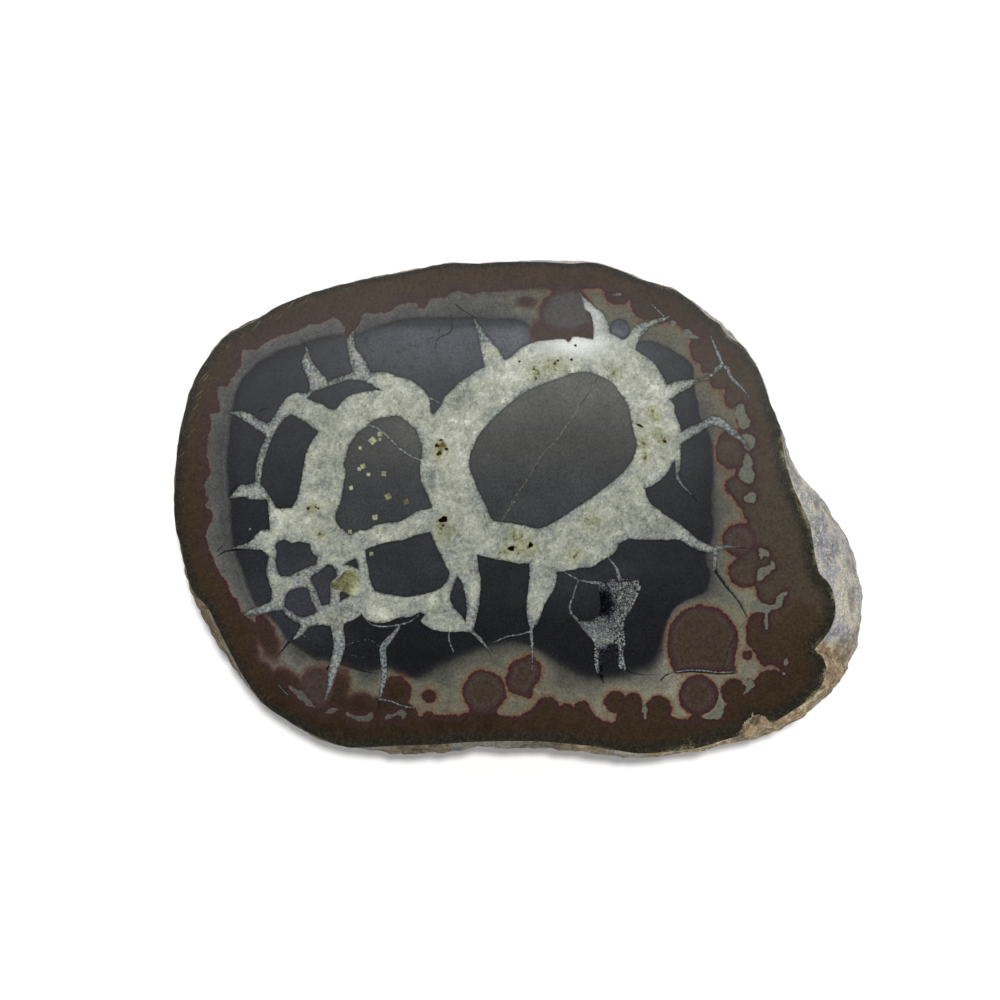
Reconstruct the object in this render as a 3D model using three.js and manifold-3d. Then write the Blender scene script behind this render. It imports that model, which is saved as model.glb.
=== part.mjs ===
// Half of a septarian nodule, cut and polished. It lies on its natural rind with the polished
// face up. Millimetres, +Z up, standing on z = 0 with the middle of its box over the origin.
import * as THREE from 'three';
import { mergeVertices } from 'three/addons/utils/BufferGeometryUtils.js';
import Module from 'manifold-3d';

const wasm = await Module();
wasm.setup();

// ---- driving dimensions ------------------------------------------------------------------

const thickness = 42;        // from the rest spot up to the polished face
const facetsAround = 104;    // facets round the edge of the face
const shoulderRings = 6;     // rings from the polished edge out to the widest line
const bellyRings = 19;       // rings from the widest line down to the rest spot
const restSpot = { x: 3, y: -2, halfLength: 16, halfWidth: 11 };
const edgeWall = 3;          // height of the plain wall where the rind doesn't swell
const wallPerSwell = 1.15;   // how much lower the widest line lies for each mm of swell
const bellyRound = 0.9;      // 1 gives an ellipsoid's underside, less gives steeper sides
const fitGap = 0.3;          // between the crust and the stone round it

// Edge of the polished face, clockwise from the left-hand end.
const faceEdge = [
  [-69.2, 0], [-68, 16], [-64, 28], [-59, 34.5], [-50, 39.8], [-38, 44.4], [-20, 48.2], [-4, 49.6],
  [14, 49.5], [24, 46.2], [34, 42], [40.4, 36.6], [46, 30.7], [50.2, 21.5], [52.8, 12], [55.4, 3],
  [58, -2.3], [58.8, -8.3], [62.3, -16], [63.2, -21], [62, -26], [61.4, -31], [60, -35.6],
  [54.8, -39.8], [49.2, -43], [43.5, -45.4], [35, -47.7], [24, -48.6], [14, -47.2], [2, -46.3],
  [-9, -46.4], [-22, -47], [-32, -47.4], [-39.5, -46], [-46.8, -42], [-51.5, -38.6], [-55.6, -33],
  [-60.2, -24.5], [-64.9, -16.9], [-67.9, -7],
];

// The widest line of the rind, some way below the polish, clockwise from the left-hand end.
const widestLine = [
  [-69.3, 0], [-68.1, 16], [-64.1, 28.1], [-59, 34.7], [-50, 40], [-38, 44.6], [-20, 48.4],
  [-4, 49.8], [14, 49.7], [24, 46.5], [34, 42.3], [41.3, 36.4], [46.6, 30.7], [50.4, 21.5],
  [53.2, 14.5], [55.9, 7.6], [60, 3.1], [63.7, -2], [66.6, -7], [68.4, -14], [68.9, -19],
  [68.5, -25], [66.7, -31], [63.8, -35.4], [59.1, -39.9], [54, -43.4], [49.2, -45.9], [43, -46.9],
  [35, -48.5], [24, -49.9], [14, -48.9], [2, -47.8], [-9, -47.9], [-20, -49.1], [-27, -48.7],
  [-33, -47.6], [-39.7, -46.2], [-47, -42.1], [-51.9, -38.7], [-56.6, -32.8], [-62.1, -24.5],
  [-65.6, -17.9], [-68.2, -7],
];

// Lumps (and hollows, below zero) on the rind, [direction, way down from 0 to 1, height, width].
const rindLumps = [
  [-8, 0.42, 1.6, 11], [-24, 0.5, 2.4, 12], [-40, 0.38, -1.7, 7], [-58, 0.55, 2.8, 14],
  [-88, 0.45, -1.6, 12], [-112, 0.4, 1.7, 10], [-130, 0.6, 2.6, 14], [-156, 0.45, 1.8, 10],
  [178, 0.58, 2.2, 13], [160, 0.68, -2, 12], [146, 0.42, 1.8, 12], [118, 0.55, 2.6, 15],
  [92, 0.4, -1.5, 12], [70, 0.6, 2.7, 14], [44, 0.44, -1.8, 11], [26, 0.6, 2.4, 13],
  [6, 0.66, -2, 11], [-30, 0.74, 2.2, 12], [-104, 0.75, -1.7, 11], [128, 0.82, 1.5, 10],
  [-70, 0.78, 1.6, 11], [64, 0.8, -1.4, 10],
];

// Ledges where harder beds stand out, [height above the rest spot, step, direction, spread].
const rindLedges = [
  [33, 1.3, -22, 48], [25, 1.9, -50, 60], [30, 1.2, -150, 40], [22, 1.7, 150, 70],
  [15, 1.8, 30, 70], [11, 1.5, -110, 60],
];
const ledgeHeight = 4;       // over which a ledge steps back again

// Flakes knocked off the polished edge, [x, y, radius, depth below the face].
const edgeChips = [
  [61.9, -28.6, 2.6, 2], [47.9, -44.4, 2.9, 2.4], [-29, -48.7, 2.2, 1.4], [56.9, 1.6, 1.7, 1.2],
];

// Open pits in the calcite, [x, y, length, width, depth, turn in degrees].
const calcitePits = [
  [-15.3, -1.9, 1.9, 1.1, 1.6, 20], [-16.5, 12.7, 1.7, 1.3, 1.3, 40],
  [-15.3, 11.1, 1.5, 1.2, 1.2, -20], [-1.7, -7.7, 1.3, 1, 1.3, 10],
  [2.1, -7, 1.1, 0.9, 1.2, 60], [24, 16.9, 2.3, 0.8, 1, -27],
];

// The open pocket in the lower right of the core, and how deep it is.
const pocketDepth = 4.2;
const pocketEdge = [
  [15.8, -15], [18, -14.4], [21, -14.4], [24, -14], [24, -15.8], [23.2, -17.8], [22.1, -20],
  [20.9, -22], [20.8, -24.4], [21, -26.4], [20.7, -28.8], [20.9, -30.6], [21.4, -32.2],
  [20, -31.6], [19.3, -29.6], [18.9, -27.6], [17.6, -28.2], [16.5, -29.4], [16.5, -31.6],
  [16.7, -34.6], [15.5, -32.6], [14.9, -30.4], [15, -28], [14.7, -26.2], [13, -24.3],
  [11.4, -22.3], [13.8, -22.2], [15.4, -21.4], [16.1, -19.8], [16, -17.4],
];
const crustBed = 1.3;        // thickness of the crust under its crystals
const crystalSpacing = 1.9;
const crystalSides = 6;
const crystalHeights = [1.2, 2.5];   // by the deep side, and by the side where they reach up
const crystalDeepPoint = [15.6, -18.6];
const crystalReach = 9;      // distance from the deep point to the tallest crystals
const crystalClear = 0.4;    // from the tallest tip up to the polish

// ---- small helpers -----------------------------------------------------------------------

function solidOf(geometry) {
  const bare = geometry.clone();
  bare.deleteAttribute('normal');
  bare.deleteAttribute('uv');
  const shared = mergeVertices(bare);
  return new wasm.Manifold(new wasm.Mesh({
    numProp: 3,
    vertProperties: Float32Array.from(shared.attributes.position.array),
    triVerts: Uint32Array.from(shared.index.array),
  }));
}

function geometryOf(solid) {
  const mesh = solid.getMesh();
  const geometry = new THREE.BufferGeometry();
  geometry.setAttribute('position', new THREE.BufferAttribute(mesh.vertProperties, mesh.numProp));
  geometry.setIndex(new THREE.BufferAttribute(mesh.triVerts, 1));
  geometry.computeVertexNormals();
  return geometry;
}

function smooth(low, high, value) {
  return THREE.MathUtils.smoothstep(value, low, high);
}

// Angle from one direction to another, in degrees from 0 to 180.
function degreesApart(one, other) {
  const turn = Math.abs(one - other) % 360;
  return Math.min(turn, 360 - turn);
}

// ---- the stone ---------------------------------------------------------------------------

// Points spread evenly along a closed smooth curve, anticlockwise.
function smoothLoop(outline, count) {
  const points = outline.map(([x, y]) => new THREE.Vector3(x, y, 0));
  const curve = new THREE.CatmullRomCurve3(points, true, 'centripetal');
  return curve.getSpacedPoints(count).slice(0, count).reverse();
}

// Distance from the middle to a loop, in the direction of a point.
function reachOf(loop, toward) {
  for (let i = 0; i < loop.length; i += 1) {
    const from = loop[i];
    const to = loop[(i + 1) % loop.length];
    const fromSide = toward.x * from.y - toward.y * from.x;
    const toSide = toward.x * to.y - toward.y * to.x;
    if (fromSide <= 0 && toSide > 0 && toward.dot(from) > 0) {
      return from.clone().lerp(to, fromSide / (fromSide - toSide)).length();
    }
  }
  throw new Error('the loop does not go round the middle');
}

// Low waves that keep the rind from looking turned on a lathe.
function waves(x, y, z) {
  return 0.45 * Math.sin(0.19 * x + 1.1) * Math.sin(0.23 * y + 0.16 * z)
    + 0.3 * Math.sin(0.41 * y - 0.2 * x + 2.3) * Math.cos(0.37 * z + 0.13 * x)
    + 0.2 * Math.sin(0.52 * x + 0.45 * z) * Math.sin(0.46 * y + 0.9);
}

// Relief of the rind, outward from the plain form. It dies out at the polish and the rest spot.
function reliefAt(point, direction, down) {
  let relief = waves(point.x, point.y, point.z);
  for (const [lumpDirection, lumpDown, height, width] of rindLumps) {
    const across = THREE.MathUtils.degToRad(degreesApart(direction, lumpDirection))
      * Math.hypot(point.x, point.y);
    const along = (down - lumpDown) * 1.5 * thickness;
    relief += height * Math.exp(-(across * across + along * along) / (width * width));
  }
  for (const [level, step, ledgeDirection, spread] of rindLedges) {
    const near = 1 - smooth(0.3 * spread, spread, degreesApart(direction, ledgeDirection));
    const rise = level - point.z;
    if (rise > 0) relief += step * near * Math.exp(-rise / ledgeHeight);
  }
  return relief * smooth(0.14, 0.6, down) * (1 - smooth(0.8, 1, down));
}

function stoneBlank() {
  const edge = smoothLoop(faceEdge, facetsAround);
  const widest = smoothLoop(widestLine, 2 * facetsAround);
  const rings = shoulderRings + bellyRings;
  const positions = [];
  for (let ring = 0; ring <= rings; ring += 1) {
    const down = ring / rings;
    for (const start of edge) {
      const outward = start.clone().normalize();
      const direction = Math.atan2(start.y, start.x);
      const reach = reachOf(widest, start);
      const swell = reach - start.length();
      const widestDepth = edgeWall + wallPerSwell * swell;
      const point = new THREE.Vector3();
      let lean = 0;          // 0 faces sideways, a right angle faces down
      if (ring <= shoulderRings) {
        const part = ring / shoulderRings;
        point.copy(start).addScaledVector(outward, swell * Math.sin(part * Math.PI / 2));
        point.z = thickness - widestDepth * part ** 1.3;
      } else {
        lean = (ring - shoulderRings) / bellyRings * Math.PI / 2;
        const rest = new THREE.Vector3(
          restSpot.x + restSpot.halfLength * Math.cos(direction),
          restSpot.y + restSpot.halfWidth * Math.sin(direction), 0);
        point.copy(rest).lerp(outward.clone().multiplyScalar(reach), Math.cos(lean) ** bellyRound);
        point.z = (thickness - widestDepth) * (1 - Math.sin(lean));
      }
      const facing = outward.multiplyScalar(Math.cos(lean));
      facing.z = -Math.sin(lean);
      const relief = reliefAt(point, THREE.MathUtils.radToDeg(direction), down);
      point.addScaledVector(facing, relief);
      positions.push(point.x, point.y, ring === rings ? 0 : Math.max(point.z, 0));
    }
  }

  const triangles = [];
  for (let ring = 0; ring < rings; ring += 1) {
    for (let i = 0; i < facetsAround; i += 1) {
      const next = (i + 1) % facetsAround;
      const above = ring * facetsAround;
      const below = above + facetsAround;
      triangles.push(above + i, below + i, below + next);
      triangles.push(above + i, below + next, above + next);
    }
  }
  const contour = edge.map((point) => new THREE.Vector2(point.x, point.y));
  const lastRing = rings * facetsAround;
  for (const [a, b, c] of THREE.ShapeUtils.triangulateShape(contour, [])) {
    triangles.push(a, b, c);
    triangles.push(lastRing + a, lastRing + c, lastRing + b);
  }
  const geometry = new THREE.BufferGeometry();
  geometry.setAttribute('position', new THREE.Float32BufferAttribute(positions, 3));
  geometry.setIndex(triangles);
  return solidOf(geometry);
}

// An upright prism on an outline, between two heights.
function prism(outline, bottom, top) {
  const shape = new THREE.Shape(outline.map(([x, y]) => new THREE.Vector2(x, y)));
  const geometry = new THREE.ExtrudeGeometry(shape, { depth: top - bottom, bevelEnabled: false });
  return solidOf(geometry.translate(0, 0, bottom));
}

// A pit is a blunt six-sided hollow with its mouth in the polish.
function pitTool([x, y, length, width, depth, turn]) {
  const above = 0.4;
  const geometry = new THREE.CylinderGeometry(0.5, 0.2, depth + above, 6);
  geometry.rotateX(Math.PI / 2);
  geometry.scale(length, width, 1);
  geometry.rotateZ(THREE.MathUtils.degToRad(turn));
  geometry.translate(x, y, thickness + above - (depth + above) / 2);
  return solidOf(geometry);
}

function chipTool([x, y, radius, depth]) {
  const geometry = new THREE.IcosahedronGeometry(radius, 0);
  geometry.rotateZ(x);
  geometry.scale(1.3, 1, depth / radius);
  geometry.translate(x, y, thickness);
  return solidOf(geometry);
}

function stone() {
  let solid = stoneBlank();
  solid = solid.subtract(prism(pocketEdge, thickness - pocketDepth, thickness + 1));
  for (const pit of calcitePits) solid = solid.subtract(pitTool(pit));
  for (const chip of edgeChips) solid = solid.subtract(chipTool(chip));
  return geometryOf(solid);
}

// ---- the crust of crystals in the pocket -------------------------------------------------

// The outline drawn in by a distance, each corner along the line that halves it.
function drawnIn(outline, distance) {
  const clockwise = THREE.ShapeUtils.isClockWise(outline.map(([x, y]) => new THREE.Vector2(x, y)));
  const side = clockwise ? -1 : 1;
  return outline.map(([x, y], i) => {
    const [fromX, fromY] = outline[(i + outline.length - 1) % outline.length];
    const [toX, toY] = outline[(i + 1) % outline.length];
    const arriving = new THREE.Vector2(x - fromX, y - fromY).normalize();
    const leaving = new THREE.Vector2(toX - x, toY - y).normalize();
    const along = arriving.clone().add(leaving).normalize();
    const inward = new THREE.Vector2(-along.y, along.x).multiplyScalar(side);
    const sharpness = Math.max(0.35, along.dot(leaving));
    return [x + inward.x * distance / sharpness, y + inward.y * distance / sharpness];
  });
}

// A dog-tooth crystal: a steep six-sided point, leaning a little its own way.
function crystal(x, y, bottom, height, number) {
  const geometry = new THREE.ConeGeometry(0.62 * crystalSpacing, height, crystalSides);
  geometry.rotateX(Math.PI / 2);
  geometry.translate(0, 0, height / 2);
  geometry.rotateX(0.32 * Math.sin(2.4 * number));
  geometry.rotateY(0.32 * Math.cos(1.7 * number));
  geometry.rotateZ(1.3 * number);
  geometry.translate(x, y, bottom);
  return solidOf(geometry);
}

function crust() {
  const edge = drawnIn(pocketEdge, fitGap);
  const floor = thickness - pocketDepth + fitGap;
  const bedTop = floor + crustBed;
  const room = prism(edge, floor, thickness - crystalClear);
  let solid = prism(edge, floor, bedTop);
  let number = 0;
  const rowStep = crystalSpacing * Math.sqrt(3) / 2;
  for (let row = 0; row * rowStep < 21; row += 1) {
    for (let column = 0; column * crystalSpacing < 14; column += 1) {
      number += 1;
      const x = 11 + (column + (row % 2) / 2) * crystalSpacing + 0.4 * Math.sin(3.1 * number);
      const y = -14.5 - row * rowStep + 0.4 * Math.cos(2.3 * number);
      const away = Math.hypot(x - crystalDeepPoint[0], y - crystalDeepPoint[1]) / crystalReach;
      const height = THREE.MathUtils.lerp(...crystalHeights, Math.min(1, away))
        * (0.85 + 0.15 * Math.sin(5.3 * number));
      solid = solid.add(crystal(x, y, bedTop - 0.3, height + 0.3, number).intersect(room));
    }
  }
  return geometryOf(solid);
}

// ---- the object --------------------------------------------------------------------------

const rindStone = new THREE.MeshStandardMaterial({ color: 0x4a4541, roughness: 0.45 });
const calcite = new THREE.MeshStandardMaterial({ color: 0xb9bbb2, roughness: 0.4 });

const nodule = new THREE.Mesh(stone(), rindStone);
nodule.name = 'septarian_nodule';

const druse = new THREE.Mesh(crust(), calcite);
druse.name = 'calcite_druse';

// The middle of the box goes over the origin.
const box = new THREE.Box3().setFromBufferAttribute(nodule.geometry.attributes.position);
const middle = box.getCenter(new THREE.Vector3());

const object = new THREE.Group();
object.position.set(-middle.x, -middle.y, 0);
object.add(nodule, druse);
object.updateMatrixWorld(true);

export default object;
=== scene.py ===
import functools
import math

import bpy
import numpy as np
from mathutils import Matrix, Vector, kdtree, noise
from mathutils.geometry import delaunay_2d_cdt


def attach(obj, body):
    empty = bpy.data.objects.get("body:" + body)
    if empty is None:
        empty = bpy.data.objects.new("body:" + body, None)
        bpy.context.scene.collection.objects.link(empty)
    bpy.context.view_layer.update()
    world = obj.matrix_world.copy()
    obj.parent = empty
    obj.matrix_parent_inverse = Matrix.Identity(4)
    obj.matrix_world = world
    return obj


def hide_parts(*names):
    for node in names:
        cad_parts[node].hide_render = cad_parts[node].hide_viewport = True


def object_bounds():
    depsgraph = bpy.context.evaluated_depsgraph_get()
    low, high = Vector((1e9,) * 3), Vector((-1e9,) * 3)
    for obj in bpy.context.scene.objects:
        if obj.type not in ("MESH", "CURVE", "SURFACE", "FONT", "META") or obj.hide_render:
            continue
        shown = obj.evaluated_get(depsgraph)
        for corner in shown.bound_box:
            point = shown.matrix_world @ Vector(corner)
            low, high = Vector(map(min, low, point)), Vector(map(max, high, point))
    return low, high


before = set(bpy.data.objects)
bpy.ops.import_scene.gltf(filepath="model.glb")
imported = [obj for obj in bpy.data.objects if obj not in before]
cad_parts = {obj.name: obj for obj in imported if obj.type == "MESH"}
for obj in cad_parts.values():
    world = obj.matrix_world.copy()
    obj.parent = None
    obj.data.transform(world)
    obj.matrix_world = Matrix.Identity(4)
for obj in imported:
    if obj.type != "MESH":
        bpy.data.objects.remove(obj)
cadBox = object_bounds()
mm = 0.001
polish = 42.0                      # height of the polished face over the rest spot, mm
shift = np.array([0.1276, -0.1153])    # from the outlines' own zero to the middle of the box


# An object in the scene for a mesh, a lamp or a camera
def placeObject(name, data):
    thing = bpy.data.objects.new(name, data)
    bpy.context.collection.objects.link(thing)
    return thing


# camera: straight down on the polished face, long lens
view = {"lens": 250.0, "sensor": 36.0, "frameWidth": 200.0, "middle": (-4.0, 2.0)}

cameraData = bpy.data.cameras.new("camera")
cameraData.lens = view["lens"]
cameraData.sensor_width = view["sensor"]
cameraData.clip_end = 20
camera = placeObject("camera", cameraData)
rise = view["frameWidth"] * view["lens"] / view["sensor"]
camera.location = Vector((*(view["middle"] + shift), polish + rise)) * mm
bpy.context.scene.camera = camera


# sRGB hex to the linear colour that a socket takes
def linear(hexColour):
    parts = [int(hexColour[i:i + 2], 16) / 255 for i in (0, 2, 4)]
    return [p / 12.92 if p <= 0.04045 else ((p + 0.055) / 1.055) ** 2.4 for p in parts] + [1.0]


# One node with its settings and links, shader nodes under their short names. Values fill its open
# sockets from the top and named ones go by name: a number, a hex colour or another node's output.
# A ramp's stops come as (position, hex). Gives back one output, the first open one unless told.
def addNode(tree, kind, *values, named=None, stops=None, out=None, **settings):
    node = tree.nodes.new(kind if "Node" in kind else "ShaderNode" + kind)
    for name, value in settings.items():
        setattr(node, name, value)
    if stops:
        ramp = node.color_ramp
        while len(ramp.elements) < len(stops):
            ramp.elements.new(0.5)
        for element, (position, colour) in zip(ramp.elements, stops):
            element.position = position
            element.color = linear(colour)
    filled = list(zip([socket for socket in node.inputs if socket.enabled], values))
    filled += [(node.inputs[name], value) for name, value in (named or {}).items()]
    for socket, value in filled:
        if isinstance(value, bpy.types.NodeSocket):
            tree.links.new(value, socket)
        elif isinstance(value, str) and socket.type == "RGBA":
            socket.default_value = linear(value)
        else:
            socket.default_value = value
    if out:
        return node.outputs[out]
    return next((socket for socket in node.outputs if socket.enabled), None)


# A new material with an empty tree, and addNode tied to that tree
def startMaterial(name):
    material = bpy.data.materials.new(name)
    material.use_nodes = True
    material.node_tree.nodes.clear()
    return material, functools.partial(addNode, material.node_tree)


# The place on the object in mm, for textures that keep a real size
def placeInMm(add):
    return add("VectorMath", add("TexCoord", out="Object"), 1 / mm, operation="SCALE")


def smoothStep(low, high, value):
    part = np.clip((value - low) / (high - low), 0, 1)
    return part * part * (3 - 2 * part)


# Points along a smooth curve through given ones. A third value makes a sharp corner.
def smoothPath(corners, step, closed=True):
    count = len(corners)
    path = []
    for i in range(count if closed else count - 1):
        before, start, end, after = (np.array(corners[(i + k) % count][:2], float) for k in (-1, 0, 1, 2))
        if len(corners[i]) > 2 or (not closed and i == 0):
            before = 2 * start - end
        if len(corners[(i + 1) % count]) > 2 or (not closed and i == count - 2):
            after = 2 * end - start
        g0, g1, g2 = (max(math.dist(a, b), 1e-6) ** 0.5
                      for a, b in ((before, start), (start, end), (end, after)))
        leave = ((start - before) / g0 - (end - before) / (g0 + g1) + (end - start) / g1) * g1
        arrive = ((end - start) / g1 - (after - start) / (g1 + g2) + (after - end) / g2) * g1
        pieces = max(1, round(math.dist(start, end) / step))
        for t in np.arange(pieces) / pieces:
            path.append(start + leave * t + (3 * (end - start) - 2 * leave - arrive) * t * t
                        + (2 * (start - end) + leave + arrive) * t ** 3)
    if not closed:
        path.append(np.array(corners[-1][:2], float))
    return np.array(path)


# The known point nearest to each asked one: its number, and how far it is
def nearestTo(known, asked):
    tree = kdtree.KDTree(len(known))
    for i, (x, y) in enumerate(known):
        tree.insert((x, y, 0), i)
    tree.balance()
    found = [tree.find((x, y, 0)) for x, y in asked]
    return np.array([number for spot, number, gap in found]), np.array([gap for spot, number, gap in found])


# Numbers of the points that lie in the box round a path, or within reach of it
def pointsAround(points, path, reach):
    return np.where(np.all((points > path.min(0) - reach) & (points < path.max(0) + reach), axis=1))[0]


# Distance from points to a closed loop in mm, above zero inside it, held within the reach
def insideBy(points, loop, reach=3.0):
    result = np.full(len(points), -reach)
    near = pointsAround(points, loop, reach)
    if not len(near):
        return result
    spots = points[near]
    nearest = nearestTo(loop, spots)[0]
    gap = np.full(len(spots), 1e9)
    for first in (nearest, (nearest - 1) % len(loop)):
        a = loop[first]
        along = loop[(first + 1) % len(loop)] - a
        part = np.clip(((spots - a) * along).sum(1) / np.maximum((along ** 2).sum(1), 1e-12), 0, 1)
        gap = np.minimum(gap, np.hypot(*(spots - a - along * part[:, None]).T))
    # a point is inside where a level line from it crosses the loop an odd number of times
    order = np.argsort(spots[:, 1])
    levels = spots[order, 1]
    odd = np.zeros(len(spots), bool)
    for (ax, ay), (bx, by) in zip(loop, np.roll(loop, -1, 0)):
        if ay == by:
            continue
        first, last = np.searchsorted(levels, [min(ay, by), max(ay, by)])
        row = order[first:last]
        crossing = ax + (spots[row, 1] - ay) * (bx - ax) / (by - ay)
        odd[row] ^= spots[row, 0] < crossing
    result[near] = np.clip(np.where(odd, gap, -gap), -reach, None)
    return result


# Half width left over at each point from thin lines that change width from one end to the other
def lineField(points, lines, reach=1.5):
    result = np.full(len(points), -reach)
    for widths, corners in lines:
        path = smoothPath(corners, 0.15, closed=False)
        half = np.interp(np.linspace(0, 1, len(path)), np.linspace(0, 1, len(widths)), widths)
        near = pointsAround(points, path, reach)
        for spot, width in zip(path, half):
            result[near] = np.maximum(result[near], width - np.hypot(*(points[near] - spot).T))
    return result


# Rows of points on a path and beside it
def rowsBeside(path, offsets, closed=True):
    ahead = np.roll(path, -1, 0)
    behind = np.roll(path, 1, 0)
    if not closed:
        ahead[-1] = path[-1]
        behind[0] = path[0]
    along = ahead - behind
    along /= np.maximum(np.hypot(*along.T), 1e-9)[:, None]
    side = np.stack([-along[:, 1], along[:, 0]], 1)
    return np.concatenate([path + side * offset for offset in offsets])


def gridOver(low, high, step):
    x = np.arange(low[0], high[0] + step, step)
    y = np.arange(low[1], high[1] + step, step * 0.866)
    grid = np.stack(np.meshgrid(x, y), -1)
    grid[1::2, :, 0] += step / 2
    return grid.reshape(-1, 2)


def gridAround(x, y, reach, step):
    return gridOver((x - reach, y - reach), (x + reach, y + reach), step)


def ellipse(x, y, halfLength, halfWidth, turn, count):
    angle = np.linspace(0, 2 * math.pi, count, endpoint=False)
    across = np.stack([halfLength * np.cos(angle), halfWidth * np.sin(angle)], 1)
    c, s = math.cos(math.radians(turn)), math.sin(math.radians(turn))
    return across @ np.array([[c, s], [-s, c]]) + (x, y)


# Points seen from a place, along a direction in degrees and across it
def turnedFrom(points, x, y, turn):
    c, s = math.cos(math.radians(turn)), math.sin(math.radians(turn))
    dx, dy = points[:, 0] - x, points[:, 1] - y
    return dx * c + dy * s, dy * c - dx * s


# Triangles over a flat loop through the given points, and none outside the loop
def fillLoop(loop, points):
    everyPoint = [Vector(p) for p in loop] + [Vector(p) for p in points]
    filled = delaunay_2d_cdt(everyPoint, [], [list(range(len(loop)))], 1, 1e-5, False)
    spots = np.array([tuple(spot) for spot in filled[0]])
    faces = np.array(filled[2])
    return spots, faces[insideBy(spots[faces].mean(1), loop, 0.5) > 0]


# One value of every item in one of a mesh's lists
def readAll(items, name, kind=np.int32, width=1):
    values = np.zeros(len(items) * width, kind)
    items.foreach_get(name, values)
    return values.reshape(-1, width) if width > 1 else values


def setAttribute(mesh, name, values):
    mesh.attributes.new(name, "FLOAT", "POINT").data.foreach_set("value", values.astype(np.float32))


# What the polished face shows, in mm, each outline listed point by point. This one is the polish's edge.
faceEdge = [
    (-69.2, 0), (-69, 4), (-68.7, 10.3), (-68, 16), (-67, 20), (-65.9, 24), (-64, 28.2), (-62.6, 30.2),
    (-61, 32.2), (-59, 34.6), (-57.5, 35.5), (-54.5, 37), (-51.5, 38.7), (-49.5, 40.2), (-46, 41.8),
    (-42, 43.2), (-38, 44.4), (-32, 45.9), (-25, 47.2), (-20, 48.2), (-16, 49.1), (-12, 49.4), (-8, 49.3),
    (-3, 49.6), (5, 49.6), (10, 49.3), (14, 49.5), (16, 49.2), (20, 47.9), (24, 46.2), (28, 45.1),
    (31, 44), (34, 42), (36, 40.2), (37.7, 38.6), (40, 37.1), (40.4, 36.3), (42, 34.5), (44, 33.3),
    (46, 30.7), (47.8, 27.8), (49.2, 24), (50.2, 21), (51.6, 17.8), (52.3, 15.6), (52.7, 12.5), (53.3, 9),
    (54.2, 6), (55.1, 3.6), (55.9, 1.9), (56.8, -0.2), (57.9, -2.6), (58.4, -5), (58.9, -8.3),
    (59.4, -11), (60, -12.8), (61.6, -14.4), (62.7, -16.6), (63, -18.3), (63.1, -20.6), (62.5, -22.8),
    (61.6, -24.6), (60.2, -26.4), (59, -28), (60.4, -29.2), (61.1, -30.8), (61.3, -32), (60.8, -34),
    (59.8, -36), (57, -38.5), (54, -40.5), (51.5, -42), (49.7, -42.6), (48.3, -41.8), (46.5, -42.3),
    (45.5, -43.7), (44.5, -44.8), (43, -45.4), (40.5, -46.1), (36, -47.5), (30, -48.3), (24, -48.7),
    (20, -48.2), (14, -47.2), (10, -46.8), (5.9, -46.4), (0, -46.2), (-9.1, -46.4), (-17.4, -46.9),
    (-24, -47.1), (-34.5, -47.4), (-38.8, -46.1), (-42.8, -44.2), (-46.8, -41.9), (-50.4, -39.5),
    (-53.4, -36.2), (-55.5, -33), (-57.7, -29), (-60.5, -23.5), (-62.4, -19.6), (-64.9, -16.9),
    (-65.9, -15.1), (-66.6, -12.6), (-67.3, -9.7), (-67.9, -6.9), (-68.7, -4.6), (-69, -2.3),
]

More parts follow.
